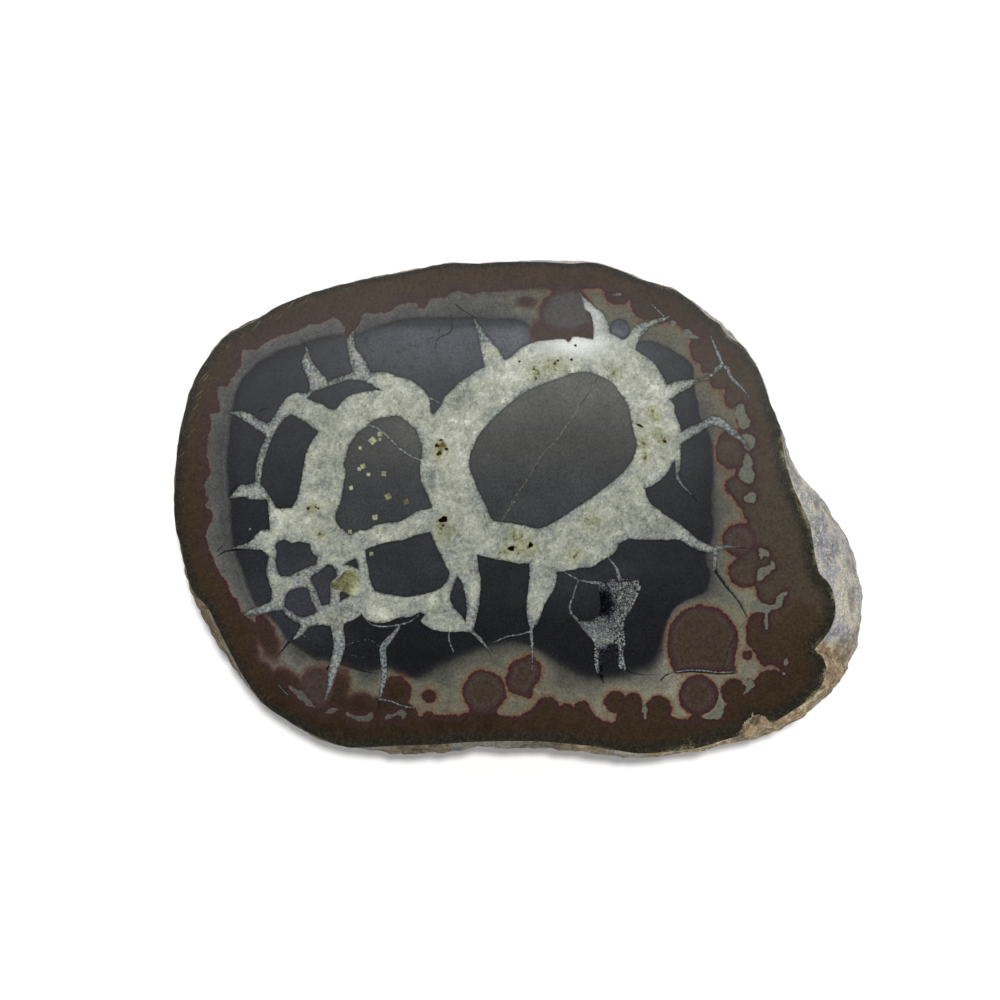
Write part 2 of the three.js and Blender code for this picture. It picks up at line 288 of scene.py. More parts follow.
# the net of calcite from outside, spike by spike, clockwise from the top left
calciteEdge = [
    (-38.4, 25.6, 0), (-36.3, 26.6), (-34.4, 27.1), (-33.6, 27.6), (-34, 29.9), (-34.4, 32.1),
    (-34.6, 33.9), (-34.1, 35), (-33.1, 36.1, 0), (-33.3, 35), (-33.1, 33.3), (-32.6, 31.9),
    (-31.5, 30.8), (-30.6, 29.2), (-29.9, 27.4, 0), (-28, 27.6), (-26.3, 27.4), (-24.6, 26.7),
    (-22.3, 26.1), (-21.1, 25.4), (-19.7, 24.4), (-18.6, 23.1), (-18.1, 21.9), (-17.7, 19.6),
    (-17.3, 19, 0), (-16.6, 19.9), (-15.9, 20.7), (-15.4, 22.1), (-13.7, 23.9), (-12, 25.6),
    (-10.3, 26.6), (-8.6, 27.9), (-7.1, 28.6, 0), (-7.4, 30.4), (-7.9, 32.4), (-8.3, 34.4),
    (-8.9, 36.7), (-9.4, 38.7, 0), (-7.9, 36.7), (-6.6, 35), (-5.4, 33.3), (-4.3, 31.9),
    (-3.1, 30, 0), (-1.7, 30.7), (-0.3, 32), (1.7, 33.1), (3.7, 33.7), (6, 34), (9.1, 34.1),
    (9.7, 33.5), (10.6, 34.6), (12.3, 34.5), (14.6, 34.1, 0), (14.7, 35.9), (14.5, 37.9),
    (14, 39.4), (13.1, 40.1), (12.6, 41.6), (11.6, 44, 0), (12.6, 42.7), (13.9, 41.6), (15.1, 40.4),
    (16.3, 39.6), (17.1, 38.4), (17.7, 37), (17.9, 35.4, 0), (19.1, 34.9), (20.6, 34.1),
    (21.7, 34.6, 0), (22.1, 35.4), (22.9, 36.7), (23.9, 37.4), (25.4, 37.7), (26.9, 38.1),
    (28.9, 38.6), (30.3, 39, 0), (29.1, 38), (27.4, 37.3), (26, 36.6), (24.9, 35.4), (24, 34.4),
    (23, 32.1, 0), (24.3, 31.3), (26, 30.1), (27.1, 29), (28, 27.6), (28.9, 26.1), (29.3, 24.9, 0),
    (30.9, 25.6), (32.9, 26), (35.4, 26.1), (37.1, 26.6), (38.3, 27.3), (39.4, 28.4), (40.2, 28.6, 0),
    (38.9, 27.1), (38, 26.3), (35.7, 25.6), (34.6, 24.9), (33.1, 24), (31.7, 23.3), (30, 22.1, 0),
    (30.9, 21), (30.9, 19.6), (31.4, 18.4), (32, 16.7), (32.3, 15.7, 0), (34, 16.7), (35.8, 17.3),
    (37.1, 18.1), (38.3, 18.7), (39.7, 18.6), (41.1, 17.7), (42.3, 16.7), (43.4, 15.6), (44.9, 13.9),
    (45.9, 12.4, 0), (44.3, 13.6), (42.6, 14.7), (41.1, 15.9), (40, 16.6), (38.3, 16.9), (37.1, 16.4),
    (36, 15.6), (34.6, 14.7), (33.1, 13.9), (32.1, 13.1, 0), (32.1, 10.9), (32, 8.6), (31.7, 6.9),
    (32.6, 5.1), (34.6, 2.9, 0), (33.4, 3.7), (32.3, 4.9), (31.3, 6.3), (31.1, 8), (31, 10.1, 0),
    (30.3, 9.1), (29.4, 7.4), (28.3, 6.3), (26.6, 5), (25, 4.3, 0), (25.3, 2.9), (26.1, 1.4),
    (27.7, 0), (29.7, -1.4), (31.7, -2.7), (33.8, -4.3), (35.4, -5.7), (37.1, -6.7), (38.6, -7.2),
    (41.4, -7.1), (43.7, -7.3, 0), (40.9, -7.7), (39.1, -8.3), (37.1, -8.4), (35.4, -7.9),
    (34.3, -7.4), (33.4, -6.9), (31.7, -5.9), (29.4, -6), (26.6, -5.9), (23.7, -5.9), (21.7, -5.7, 0),
    (19.7, -6.9), (19.1, -8.3), (17.7, -9.4), (16, -10.3), (14.6, -11.3), (12.3, -11.6), (10.3, -12),
    (8.6, -12.3), (7.3, -12.4, 0), (7.3, -13.7), (6.9, -15.4), (6, -17.1), (4.9, -18.9), (4.3, -20.6),
    (3.7, -22.3), (2.2, -24.2, 0), (1.6, -22.3), (1.3, -20), (1.4, -17.7), (1.7, -15.4),
    (1.9, -12.6), (1.9, -10.6, 0), (0, -10.7), (-3.1, -10.1), (-6, -9.6), (-8.6, -8.9, 0),
    (-8.3, -11.7), (-7.9, -13.8), (-8, -16.9), (-8.2, -19), (-8.8, -22), (-9.4, -24.2, 0),
    (-8, -25.4), (-6.8, -26.9), (-5.9, -28.2, 0), (-7.3, -27), (-8.6, -25.7), (-9.7, -24.7),
    (-11, -24.3), (-14, -24.4), (-17.4, -23.9), (-19, -23), (-19.8, -22.2), (-19, -20.9, 0),
    (-20, -20.5), (-22, -21.4), (-24, -21.5), (-27, -22.5), (-30.2, -22.2), (-31.7, -20.9, 0),
    (-33.4, -22), (-35.2, -22.9), (-34.9, -26.9), (-35.7, -29.8), (-36.8, -33.2), (-37.8, -35.8),
    (-39.1, -38.3, 0), (-38.5, -35.1), (-38.2, -31.5), (-37.3, -27.2), (-37.8, -23.2, 0), (-40, -23),
    (-42, -23.3), (-43.5, -24.9), (-45.7, -26.2, 0), (-44.4, -24.2), (-43.9, -22.9), (-45.3, -22.1),
    (-46.9, -20.9), (-47.4, -19.9, 0), (-49.4, -20.2), (-51.7, -20.8), (-54, -21), (-55.7, -21.1, 0),
    (-54, -20.1), (-51.7, -19.1), (-50, -18.3), (-49.6, -16.6), (-50.1, -14.7), (-50.7, -12.5),
    (-50.6, -11), (-50.2, -9.2, 0), (-51.7, -8), (-52.9, -7.9), (-55.1, -7.7), (-57.7, -7.7, 0),
    (-55.7, -7), (-54, -6.3), (-53.1, -5.3), (-51.7, -4.1), (-50, -4, 0), (-50.1, -2.3), (-50.3, 0),
    (-50.6, 2.1, 0), (-53.7, 2.1), (-55.1, 2.6), (-57.1, 2.4), (-58.1, 2.4, 0), (-57.1, 3.7),
    (-56, 4.9), (-54, 5.1), (-52.9, 5.7, 0), (-52.9, 7.5), (-52.6, 9.7), (-51.9, 12.2), (-50.9, 14.8),
    (-51.7, 15.6), (-53.1, 16.4), (-54.6, 17.6), (-55.7, 18.3), (-57.7, 19.3), (-58.9, 19.7, 0),
    (-56.9, 19.7), (-55.1, 19.6), (-53.7, 19.1), (-52.3, 18.1), (-50.6, 17.3, 0), (-49.6, 18.1),
    (-48.7, 19.6), (-48, 20.7), (-47.1, 21.9), (-46, 22.9), (-44.9, 23.4), (-42.5, 23.5),
    (-42.1, 25), (-42.6, 26.7), (-43.3, 28.1), (-43.6, 29.9), (-42.9, 31.6), (-43.4, 33.6),
    (-44, 34.4, 0), (-42.6, 32.4), (-41.9, 30.4), (-40.6, 28.4), (-39.1, 26.7),
]

# cells of dark marl that the calcite runs round
marlIslands = [
    [(13.4, 27.6), (16.9, 26.4), (18.6, 25.3), (19.9, 23.6), (21.7, 20.7), (22.1, 19), (22.6, 16.1),
     (23.3, 13.5), (22.6, 10.1), (21.1, 8.1), (19.4, 6.4), (16, 3.7), (12.3, 1.1), (10, -0.4),
     (7.4, -2.1), (4, -3.7), (0.3, -3), (-2, -2.6), (-5.4, -2.1), (-6.3, -0.6), (-7.1, 1.4),
     (-8.3, 3.7), (-9.3, 6.3), (-10.1, 8.3), (-10, 10.9), (-9.1, 13.1), (-8.6, 14.4), (-7.4, 16.1),
     (-3.7, 19.9), (-0.3, 22.7), (1.7, 24), (4, 25), (8, 26.4), (10.5, 27.3)],
    [(-24.6, 18.9), (-26.3, 18.7), (-28, 18.4), (-29.4, 17.9), (-30.3, 17), (-32.3, 15.6),
     (-33.5, 14), (-34.3, 12.8), (-34.9, 10.3), (-35.3, 9.1), (-34.9, 8), (-35.3, 5.1), (-36, 1.4),
     (-36.9, -1.1), (-36.7, -2.6), (-35.7, -3.7), (-33.9, -5), (-32.3, -4.1), (-30.6, -4),
     (-28.9, -3), (-26.6, -2.6), (-24.6, -2.4), (-23.1, -1.9), (-21.7, -0.9), (-20, -0.1),
     (-17.7, 0.4), (-17.7, 1.1), (-18.3, 2.6), (-19.1, 4.3), (-19.7, 5.7), (-20, 7.7), (-19.9, 9.7),
     (-19.6, 11.1), (-19.7, 13), (-20.3, 14.7), (-20.9, 16.3), (-22, 17.1), (-23.1, 18.1)],
    [(-42.6, 22.4, 0), (-41.4, 23.6), (-38.6, 24.6), (-36.3, 25.4), (-34, 26), (-32, 25.9),
     (-30.3, 25.3), (-28.9, 24.6), (-27.6, 23.9, 0), (-29.7, 23.9), (-32, 23.4), (-33.8, 23),
     (-35.7, 21.6), (-37, 20), (-38.3, 20.3), (-39.4, 21), (-41.1, 21.6)],
    [(-45.7, 19.1), (-44.3, 18.4), (-42.9, 17.7), (-41.7, 16.7), (-40.3, 15.7, 0), (-41.5, 13.9),
     (-42.4, 12.3), (-43, 10.3), (-43.3, 8.6), (-43.6, 6.6), (-44, 4.6), (-44.6, 2.3), (-45.6, 0.4, 0),
     (-48.6, 0.4), (-49.4, 1.7), (-50.3, 3), (-51.1, 4.3), (-51.9, 5.1), (-51.7, 7.4), (-51.3, 9.7),
     (-50.7, 11.4), (-50, 13.4), (-49.3, 14.9), (-48.3, 16.7), (-47.1, 18.3)],
    [(-31, -7.9, 0), (-28.3, -6.9), (-26.6, -6.4), (-23.4, -6), (-21.1, -5.1), (-18, -4.3, 0),
     (-17.4, -5.7), (-16.6, -7.4), (-15.7, -9.1), (-14.9, -11.1), (-14.1, -12.6), (-14.7, -14.3),
     (-16, -15.7), (-17.7, -16.4), (-20, -17), (-23.1, -17.4), (-26, -16.9), (-29.1, -16.3, 0),
     (-29.9, -14.3), (-30.4, -11.7)],
    [(-12.6, -13.1, 0), (-11.7, -14.3), (-11.1, -16.3), (-10.7, -18.3), (-10.7, -20.9),
     (-10.9, -22.4, 0), (-12, -20.9), (-13.4, -19.4), (-14, -17.4), (-13.4, -15.4)],
    [(-49, -6.9), (-47.1, -5.9), (-45.7, -6.6), (-44.3, -6.3), (-42, -6.9), (-41.7, -8.3),
     (-40.6, -9.4), (-40.9, -10.9), (-42.3, -11.4), (-44.3, -12.3), (-46.3, -13.3), (-48, -13.1),
     (-48.7, -11.4), (-48.9, -10), (-48.6, -8.6)],
    [(-38, -10.9), (-36.6, -12.3), (-36.7, -13.4), (-37.7, -14.3), (-37.9, -15.4), (-38, -18.7, 0),
     (-39.7, -19), (-40.3, -17.4), (-41.1, -15.4), (-41.9, -13.7), (-40, -12.1)],
    [(-42.6, -15.7), (-44.9, -15.7), (-46.3, -16.3), (-47.1, -18), (-47, -19.4), (-45.7, -20.3),
     (-44, -21.4), (-42, -21.1), (-40.7, -20.3), (-41.7, -18)],
    [(-35.4, -10.9, 0), (-32.9, -9.6, 0), (-32.1, -11.9, 0), (-33.7, -11.3)],
    [(-35.9, -16.4), (-36, -18.3, 0), (-33.9, -16.9)],
]

# inner edge of the siderite rim, clockwise from the lower left; blobs lie over it at the right
rimInside = [
    (-52.3, -27.6), (-52.1, -25), (-53, -22.5), (-54.5, -21.4), (-55.4, -20.9), (-56.3, -18.6),
    (-57.7, -16.9), (-58.3, -14.9), (-59.7, -12.9), (-60.9, -10.6), (-61.7, -8.6), (-62.3, -6.9),
    (-62.9, -4.9), (-62.4, -3.4), (-61.4, -1.7), (-61.7, -0.3), (-63, 0.7), (-62.3, 2), (-63, 3.7),
    (-63.1, 5.1), (-62, 7.4), (-62.3, 9.4), (-62.6, 12), (-62.4, 14.3), (-61.7, 17.3), (-61.9, 19),
    (-60, 19.3), (-59.9, 20.7), (-60.3, 22.4), (-60.7, 23.9), (-60, 24.7), (-58.6, 24.7),
    (-57.9, 25.9), (-56.9, 27.3), (-55.7, 29.3), (-55.7, 30.6), (-55.4, 31.9), (-54, 32.1),
    (-52.3, 32.3), (-50.6, 33.6), (-48.3, 34.6), (-46, 35.3), (-44.3, 36), (-42, 37), (-39.7, 37.4),
    (-37.7, 38.3), (-36, 37.9), (-35.3, 36.4), (-35, 34.7, 0), (-33.1, 36.1), (-31.7, 37.9),
    (-31.3, 39.1), (-29.1, 39.3), (-26, 39.6), (-24.6, 40.6), (-22.9, 41.3), (-20.9, 41.3),
    (-20, 40.4), (-18.9, 40.7), (-17.7, 42.4), (-14.9, 42.4), (-13.7, 43.4), (-11.4, 43.6),
    (-9.7, 42.9), (-8, 43.4), (-4.6, 43.6), (1.1, 44.1), (5, 44.2), (8, 43.6), (11.2, 44), (13.5, 44.2),
    (16, 44.2), (17.3, 43.2), (17.5, 41.8), (19, 41.4), (21, 41.6), (22, 42), (22.3, 40.5),
    (23.5, 38.6), (25, 38.3), (27.4, 37.2), (30, 37.4), (31.4, 36.9), (32.6, 35.8), (34, 34.5),
    (33.8, 32.8), (34.8, 31), (36, 29.8), (36.2, 27.6), (38, 27.4), (38.4, 25.8), (38.7, 24.4),
    (40.5, 24.9), (41, 22.5), (40.8, 21.5), (41.5, 20.5), (43, 20.3), (43.4, 18), (43.6, 15), (43.5, 12),
    (43.4, 9), (43, 7), (43, 5), (42.3, 3.2), (42.8, 2), (43.7, 0.8), (44.4, 0), (44.8, -1.3),
    (45.4, -2.3), (44, -4), (44, -8), (45, -12), (46.8, -14.8), (47.6, -17.7), (48.3, -19.2),
    (47.6, -20.5), (46.5, -21.5), (45.6, -23), (45.2, -25.5), (45.6, -27), (46.5, -27.8),
    (46.9, -28.4), (48.3, -31), (49.7, -31.1), (50.6, -30.2), (51.1, -31.3), (52.2, -31.9),
    (51.9, -33.1), (50.4, -32.2), (48.3, -32.4), (46.9, -34.1), (45.8, -34.2), (44.9, -34.6),
    (43, -36), (41.5, -38), (40.8, -40), (40, -41.7), (38, -41.8), (36.3, -41.5), (35.5, -40),
    (34.3, -40.2), (34.3, -41), (33.5, -41.8), (32, -41.8), (30.5, -41.2), (30, -40.5),
    (28.5, -40.3), (25.5, -40.5), (25, -41.7), (24.7, -40.5), (22.4, -40), (19.5, -40), (19, -42.2),
    (17.5, -42.4), (16.3, -42), (15, -41), (14, -39.5), (12.3, -39.3), (9.3, -39.8), (5.5, -39),
    (3, -39.2), (2.3, -39.8), (1, -40.6), (0, -41.1), (-2.5, -41.2), (-4, -41), (-5.5, -40.2),
    (-7.5, -39), (-9.6, -40.8), (-10.5, -40.6), (-11.5, -40.7), (-12, -41.1), (-13, -40.9),
    (-14.5, -40.7), (-15.5, -41.1), (-16.8, -41), (-17.5, -40.4), (-18.5, -40.3), (-19.2, -40.8),
    (-19.8, -41.3), (-20.5, -41), (-20.5, -40.2), (-21.5, -39.3), (-23, -38.3), (-26, -37),
    (-28.4, -37.6), (-31, -38), (-33.5, -37.3), (-35.5, -36.5), (-37.5, -35.5), (-40, -36),
    (-42.5, -35), (-44, -34), (-45, -33.2), (-46.3, -32.8), (-48, -31.4), (-49.3, -31.9),
    (-50.4, -30.6), (-52.1, -30), (-52, -28.5),
]

# rounded blobs of siderite, (x, y, half length, half width, turn in degrees)
blobs = [
    (1.2, 41.6, 2, 1.2, 0), (19.5, 42.9, 2.4, 1.9, 0), (25.3, 40.6, 2.9, 2.6, 0),
    (36.6, 32, 2.6, 2.8, 0), (40.2, 26.2, 2.3, 2.1, 0), (42.9, 22.4, 2.2, 2, 0),
    (42.1, 12.1, 3, 3.9, 0), (43.1, 4.8, 2.2, 2, 0), (44, -6, 3.5, 3.4, 0), (45, -12.3, 3.3, 3.2, 0),
    (48.5, -10.2, 1.15, 1.1, 0), (50.3, -15.8, 3, 3, 0), (47.4, -24.4, 2.1, 3.9, 5),
    (45.6, -29.1, 1, 0.95, 0), (49.3, -29.3, 1.8, 1.7, 0), (51.5, -29.5, 1.8, 1.6, 0),
    (50.3, -33.9, 2.4, 1.9, 0), (46, -34.3, 0.6, 0.5, 0), (42.8, -36.5, 2.6, 2.8, 0),
    (35.7, -37, 4, 4, 0), (27.7, -39.8, 2.7, 2.6, 0), (22.5, -39, 2.2, 2.4, 0),
    (19.1, -38.4, 2.3, 2.3, 0), (12.3, -39.9, 1.8, 1.8, 0), (9.2, -40.4, 1.8, 1.7, 0),
    (5.5, -39.7, 2.5, 2.4, 0), (-7.2, -36.3, 4.4, 4.3, 0), (-18.2, -37.1, 1.45, 1.4, 0),
    (-24.8, -36.3, 3.1, 3.2, -20), (-32, -39, 2.9, 2.7, 0), (-40.6, -35.4, 3.3, 4.1, 0),
    (-36, -35.3, 1.9, 3.4, -12), (-46.2, -33.7, 2.9, 1.4, -40), (-50.6, -25.4, 2, 4.8, 20),
]
# blobs with a shape of their own
oddBlobs = [
    [(3.8, 39), (4, 41), (5.5, 42.5), (7.4, 44.2), (11, 44.4), (13.4, 42.6), (14.6, 39.5),
     (14.6, 36.6), (12, 35.9), (9.5, 35.5), (7, 35.9), (5, 36.8)],
    [(2.6, 37.4), (5, 38.5), (14.8, 37.8), (15.2, 35), (14, 33), (10, 33.2), (6.5, 33.4), (3.4, 33.4),
     (2.2, 35)],
    [(29.5, -26), (30, -23.3), (31.4, -21.2), (33.6, -19.6), (36.4, -19), (39.3, -19.6), (41.6, -21.2),
     (43, -23.4), (43.5, -26), (43.3, -28.4), (43, -30.2), (42.9, -32.1), (40, -32.5), (37, -32.2),
     (34, -32.2), (31.4, -32.4), (30.2, -30.6), (29.6, -28.4)],
    [(-3, -34.5), (-2.5, -33), (-2, -31), (-1, -30.2), (0.5, -29.5), (2, -29), (3, -29.6), (4, -30.8),
     (4.3, -32.5), (3.8, -34), (2.8, -35.5), (2, -37.6), (0.5, -37.2), (-1, -36.8), (-2, -36.4)],
    [(-10.4, -41.6), (-9.6, -39), (-5.4, -39), (-4.8, -41.6)],
]

# small windows of pale marl left open in the rim
rimWindows = [
    [(43.1, 20.2), (43.4, 20.8), (44.5, 21), (45, 19.5), (46, 17.8), (45.9, 16.8), (44.5, 16.2),
     (43.6, 17.3), (43.1, 19)],
    [(44.1, 14.6), (45.2, 15.2), (47, 14.2), (46.6, 12.5), (45.6, 12), (44.5, 13.3)],
    [(45.3, 11.3), (46, 10.7), (46.4, 9.5), (46.4, 8.3), (47, 7), (46.6, 5.8), (45.4, 5.4), (44.3, 6),
     (43.7, 7.3), (44.6, 9)],
    [(44.8, 2), (45.8, 3.5), (47, 3.5), (46.8, 1.5)],
    [(47.9, -7.5), (49.5, -8.4), (49.7, -9.3), (49, -9.1), (48.3, -9.7), (47.9, -8.8)],
    [(50.25, -10.2), (51, -11.5), (50.2, -12.2), (49, -13.1), (48.3, -14), (47.6, -14.1),
     (47.4, -12.7), (47.75, -11.6), (49, -11.4), (49.9, -10.9)],
    [(47.2, -17.7), (49.7, -19), (51.1, -18.4), (51.5, -17.4), (52.6, -16.5), (53.3, -16.1),
     (53.4, -16.6), (52.6, -17.7), (52, -19.3), (50.4, -20), (49.7, -20.9), (49.5, -23.8),
     (49.2, -24.1), (48.9, -23), (48.6, -20.7), (47.3, -20.3), (46, -20)],
    [(52.7, -32.2), (53, -32.9), (52.4, -32.9)],
    [(53.3, -29.5), (53.6, -30.6), (52.8, -31.3), (52.9, -30.3)],
    [(44.7, -34.2), (45.3, -35.5), (44.7, -36.8), (45.5, -36.5), (46.2, -35.5), (47, -35),
     (46.6, -34.3), (45.5, -34)],
    [(36.3, -41.5), (38, -41.8), (40, -41.7), (40.8, -40), (40.3, -38.5), (40, -37), (39.7, -35.6),
     (39.7, -38), (38.6, -40.3)],
    [(24.6, -38.5), (25.4, -39.5), (25, -41.7), (24.7, -40)],
    [(-46.5, -34.8), (-45.5, -36), (-44.3, -37.5), (-43, -38.7), (-42, -39.5), (-41, -39.5),
     (-42.5, -37.5), (-43.5, -36.2), (-45.5, -35.6)],
    [(-39.2, -40.7), (-38, -40.7), (-36.5, -40), (-37, -39.8), (-38.5, -40.1)],
    [(-34.7, -40.4), (-34.2, -41.3), (-33, -41.9), (-32, -42.2), (-30, -42.2), (-29.5, -40.7),
     (-30.5, -40.9), (-31.5, -41.4), (-32.6, -41.3), (-34, -40.5)],
    [(-27.2, -42.2), (-26.5, -42), (-25.5, -41.3), (-24, -41), (-23.6, -41.9), (-23, -41.7),
     (-22.8, -41), (-23.5, -39.9), (-24.2, -40.2), (-25, -40.7), (-26.7, -41)],
    [(30, 37.7), (31.3, 37.5), (31.1, 36.9), (30.4, 37)],
    [(32.8, 36), (34, 35.9), (34.8, 35), (37, 34.4), (36.5, 34.2), (34.5, 34.5), (33, 35)],
    [(18.5, 43.1), (19.6, 43.5), (20.5, 43.1), (19.5, 42.7)],
]

# where the dark core fades into the paler halo inside the rim, clockwise from the left
coreEdge = [
    (-58, 2), (-58.3, 6), (-58.4, 10), (-58.2, 14), (-57.5, 20), (-56, 25), (-53, 29), (-49, 31.5),
    (-45, 33), (-40, 34.4), (-36, 35), (-33, 35.2), (-28, 37), (-22, 38.3), (-16, 38.5), (-10, 38.5),
    (-4, 38.4), (0, 38.2), (1.7, 37.2), (2.4, 35.5), (2.6, 33), (5, 31), (12, 31), (18, 31), (21, 32.6),
    (24, 34), (26, 34), (28, 33.3), (30, 32.4), (32, 31.2), (33.5, 30), (34.5, 28.5), (34.7, 26.5),
    (35.2, 24), (35.6, 21), (36, 18.5), (37.5, 16), (38.4, 13), (38.6, 8), (38.5, 2), (38.5, -5),
    (37.2, -9.5), (38.3, -13), (37, -16.5), (33, -18.2), (30.5, -20.5), (29, -24), (28.3, -28),
    (26.8, -31), (22.4, -32.5), (15.8, -33.2), (10.8, -32.2), (7.5, -30.2), (4.2, -27.9),
    (-0.8, -26.2), (-7.4, -27.2), (-13.4, -29.5), (-17.4, -31.5), (-20.7, -33.2), (-24, -32.8),
    (-26.4, -31), (-30, -31.8), (-35.5, -30.8), (-38.5, -29.6), (-40.5, -29.7), (-42, -28.9),
    (-44.2, -27.4), (-46.2, -25.8), (-47.9, -23.4), (-50.4, -21.2), (-52.6, -19), (-54, -16), (-55.6, -12),
    (-57, -8), (-57.8, -3),
]

# a small disc of the core's marl that stands alone in the halo, (x, y, radius)
loneDisc = (19.9, 36.2, 2.1)

# open pocket in the lower right of the core, clockwise
pocketEdge = [
    (15.8, -15), (18, -14.4), (21, -14.4), (24, -14, 0), (24, -15.8), (23.2, -17.8), (22.1, -20),
    (20.9, -22), (20.8, -24.4), (21, -26.4), (20.7, -28.8), (20.9, -30.6), (21.4, -32.2, 0),
    (20, -31.6), (19.3, -29.6), (18.9, -27.6), (17.6, -28.2), (16.5, -29.4), (16.5, -31.6),
    (16.7, -34.6, 0), (15.5, -32.6), (14.9, -30.4), (15, -28), (14.7, -26.2), (13, -24.3),
    (11.4, -22.3, 0), (13.8, -22.2), (15.4, -21.4), (16.1, -19.8), (16, -17.4),
]

# thin veins of calcite: half widths along the line, then the line
paleLines = [
    ((0.1, 0.3, 0.3), [(38.2, 34.7), (38.8, 33.3), (39.3, 32), (39.8, 30.8), (40.5, 29)]),
    ((0.35, 0.3, 0.1),
     [(40.5, 29), (41.5, 28.2), (42, 27), (43, 25.7), (44, 24.8), (45.2, 23.4), (46, 22.3)]),
    ((0.4, 0.35), [(39.2, 28), (40.5, 29)]),
    ((0.15, 0.1), [(28.7, 38.8), (26.5, 41)]),
    ((0.4, 0.25), [(39.2, -8.1), (39, -9.5), (38.9, -11), (38.7, -12)]),
    ((0.05, 0.07, 0.0), [(39, -11.6), (40.6, -14), (42.1, -16), (43.7, -18), (44.7, -19.6), (45.4, -21.2)]),
    ((0.1, 0.2, 0.3), [(9, -12.5), (11.7, -13.9), (13.5, -14.4), (16, -14.6)]),
    ((0.1, 0.25, 0.4), [(17.8, -9.7), (19.2, -11.5), (20, -13.8)]),
    ((0.1, 0.15, 0.25),
     [(11.7, -14.2), (11.2, -15.4), (10.5, -17.6), (10, -19.1), (10.2, -20.5), (11.4, -22)]),
    ((0.0, 0.1, 0.05, 0.0), [(16.3, -14.2), (18.5, -14), (21, -13.9), (23.7, -13.8)]),
    ((0.3, 0.2, 0.05), [(2.2, -24), (2.4, -27), (2.5, -29), (2.4, -31.8)]),
    ((0.15, 0.1), [(2, -24.3), (0, -24.9), (-2.5, -25.3), (-5.4, -26.5)]),
    ((0.2, 0.5, 0.65, 0.6, 0.5, 0.35, 0.1),
     [(-24.2, -23.4), (-25.8, -25.5), (-27.3, -27.3), (-27.2, -31.2), (-27.1, -33), (-27.6, -35.8),
      (-28.1, -38)]),
    ((0.1, 0.15, 0.1), [(-28.2, -37.8), (-26, -38.2), (-24, -39), (-22.5, -39.4), (-20.3, -39.7)]),
    ((0.12, 0.1), [(-14.2, -24.5), (-14.2, -26), (-13.3, -28.3)]),
    ((0.05, 0.16, 0.16, 0.05),
     [(-31.5, -20.9), (-30, -22.7), (-27.5, -23.3), (-24.5, -23), (-22, -22.3), (-20.2, -20.9)]),
    ((0.18, 0.22, 0.2),
     [(-31, 17.3), (-28.5, 16.3), (-26.5, 14.7), (-24, 12.3), (-21.7, 10.7), (-19.7, 9.9)]),
    ((0.1, 0.12, 0.1), [(-18, 22.4), (-16.8, 21.8), (-15.5, 21)]),
    ((0.02, 0.02), [(-35, -27), (-32.5, -26.3), (-30, -26), (-28.3, -27.2)]),
    ((0.0, 0.0), [(-35, -28.8), (-31, -29.5), (-28, -29.7)]),
    ((0.0, -0.02), [(-43.5, -25), (-38.5, -28.5)]),
    ((0.06, 0.14, 0.14, 0.06), [(30.3, -32.5), (34, -32.05), (37, -32.15), (40, -32.5), (43.5, -32.3)]),
    ((0.08, 0.08), [(-48.5, -34.8), (-46.3, -37.2)]),
    ((0.1, 0.1), [(12.9, 31.2), (12.6, 29.2), (11.5, 27.5)]),
    ((0.25, 0.2), [(54.6, 10.4), (53.4, 9.9)]),
    ((-0.02, 0.0), [(52, 10.9), (50, 9.9)]),
]

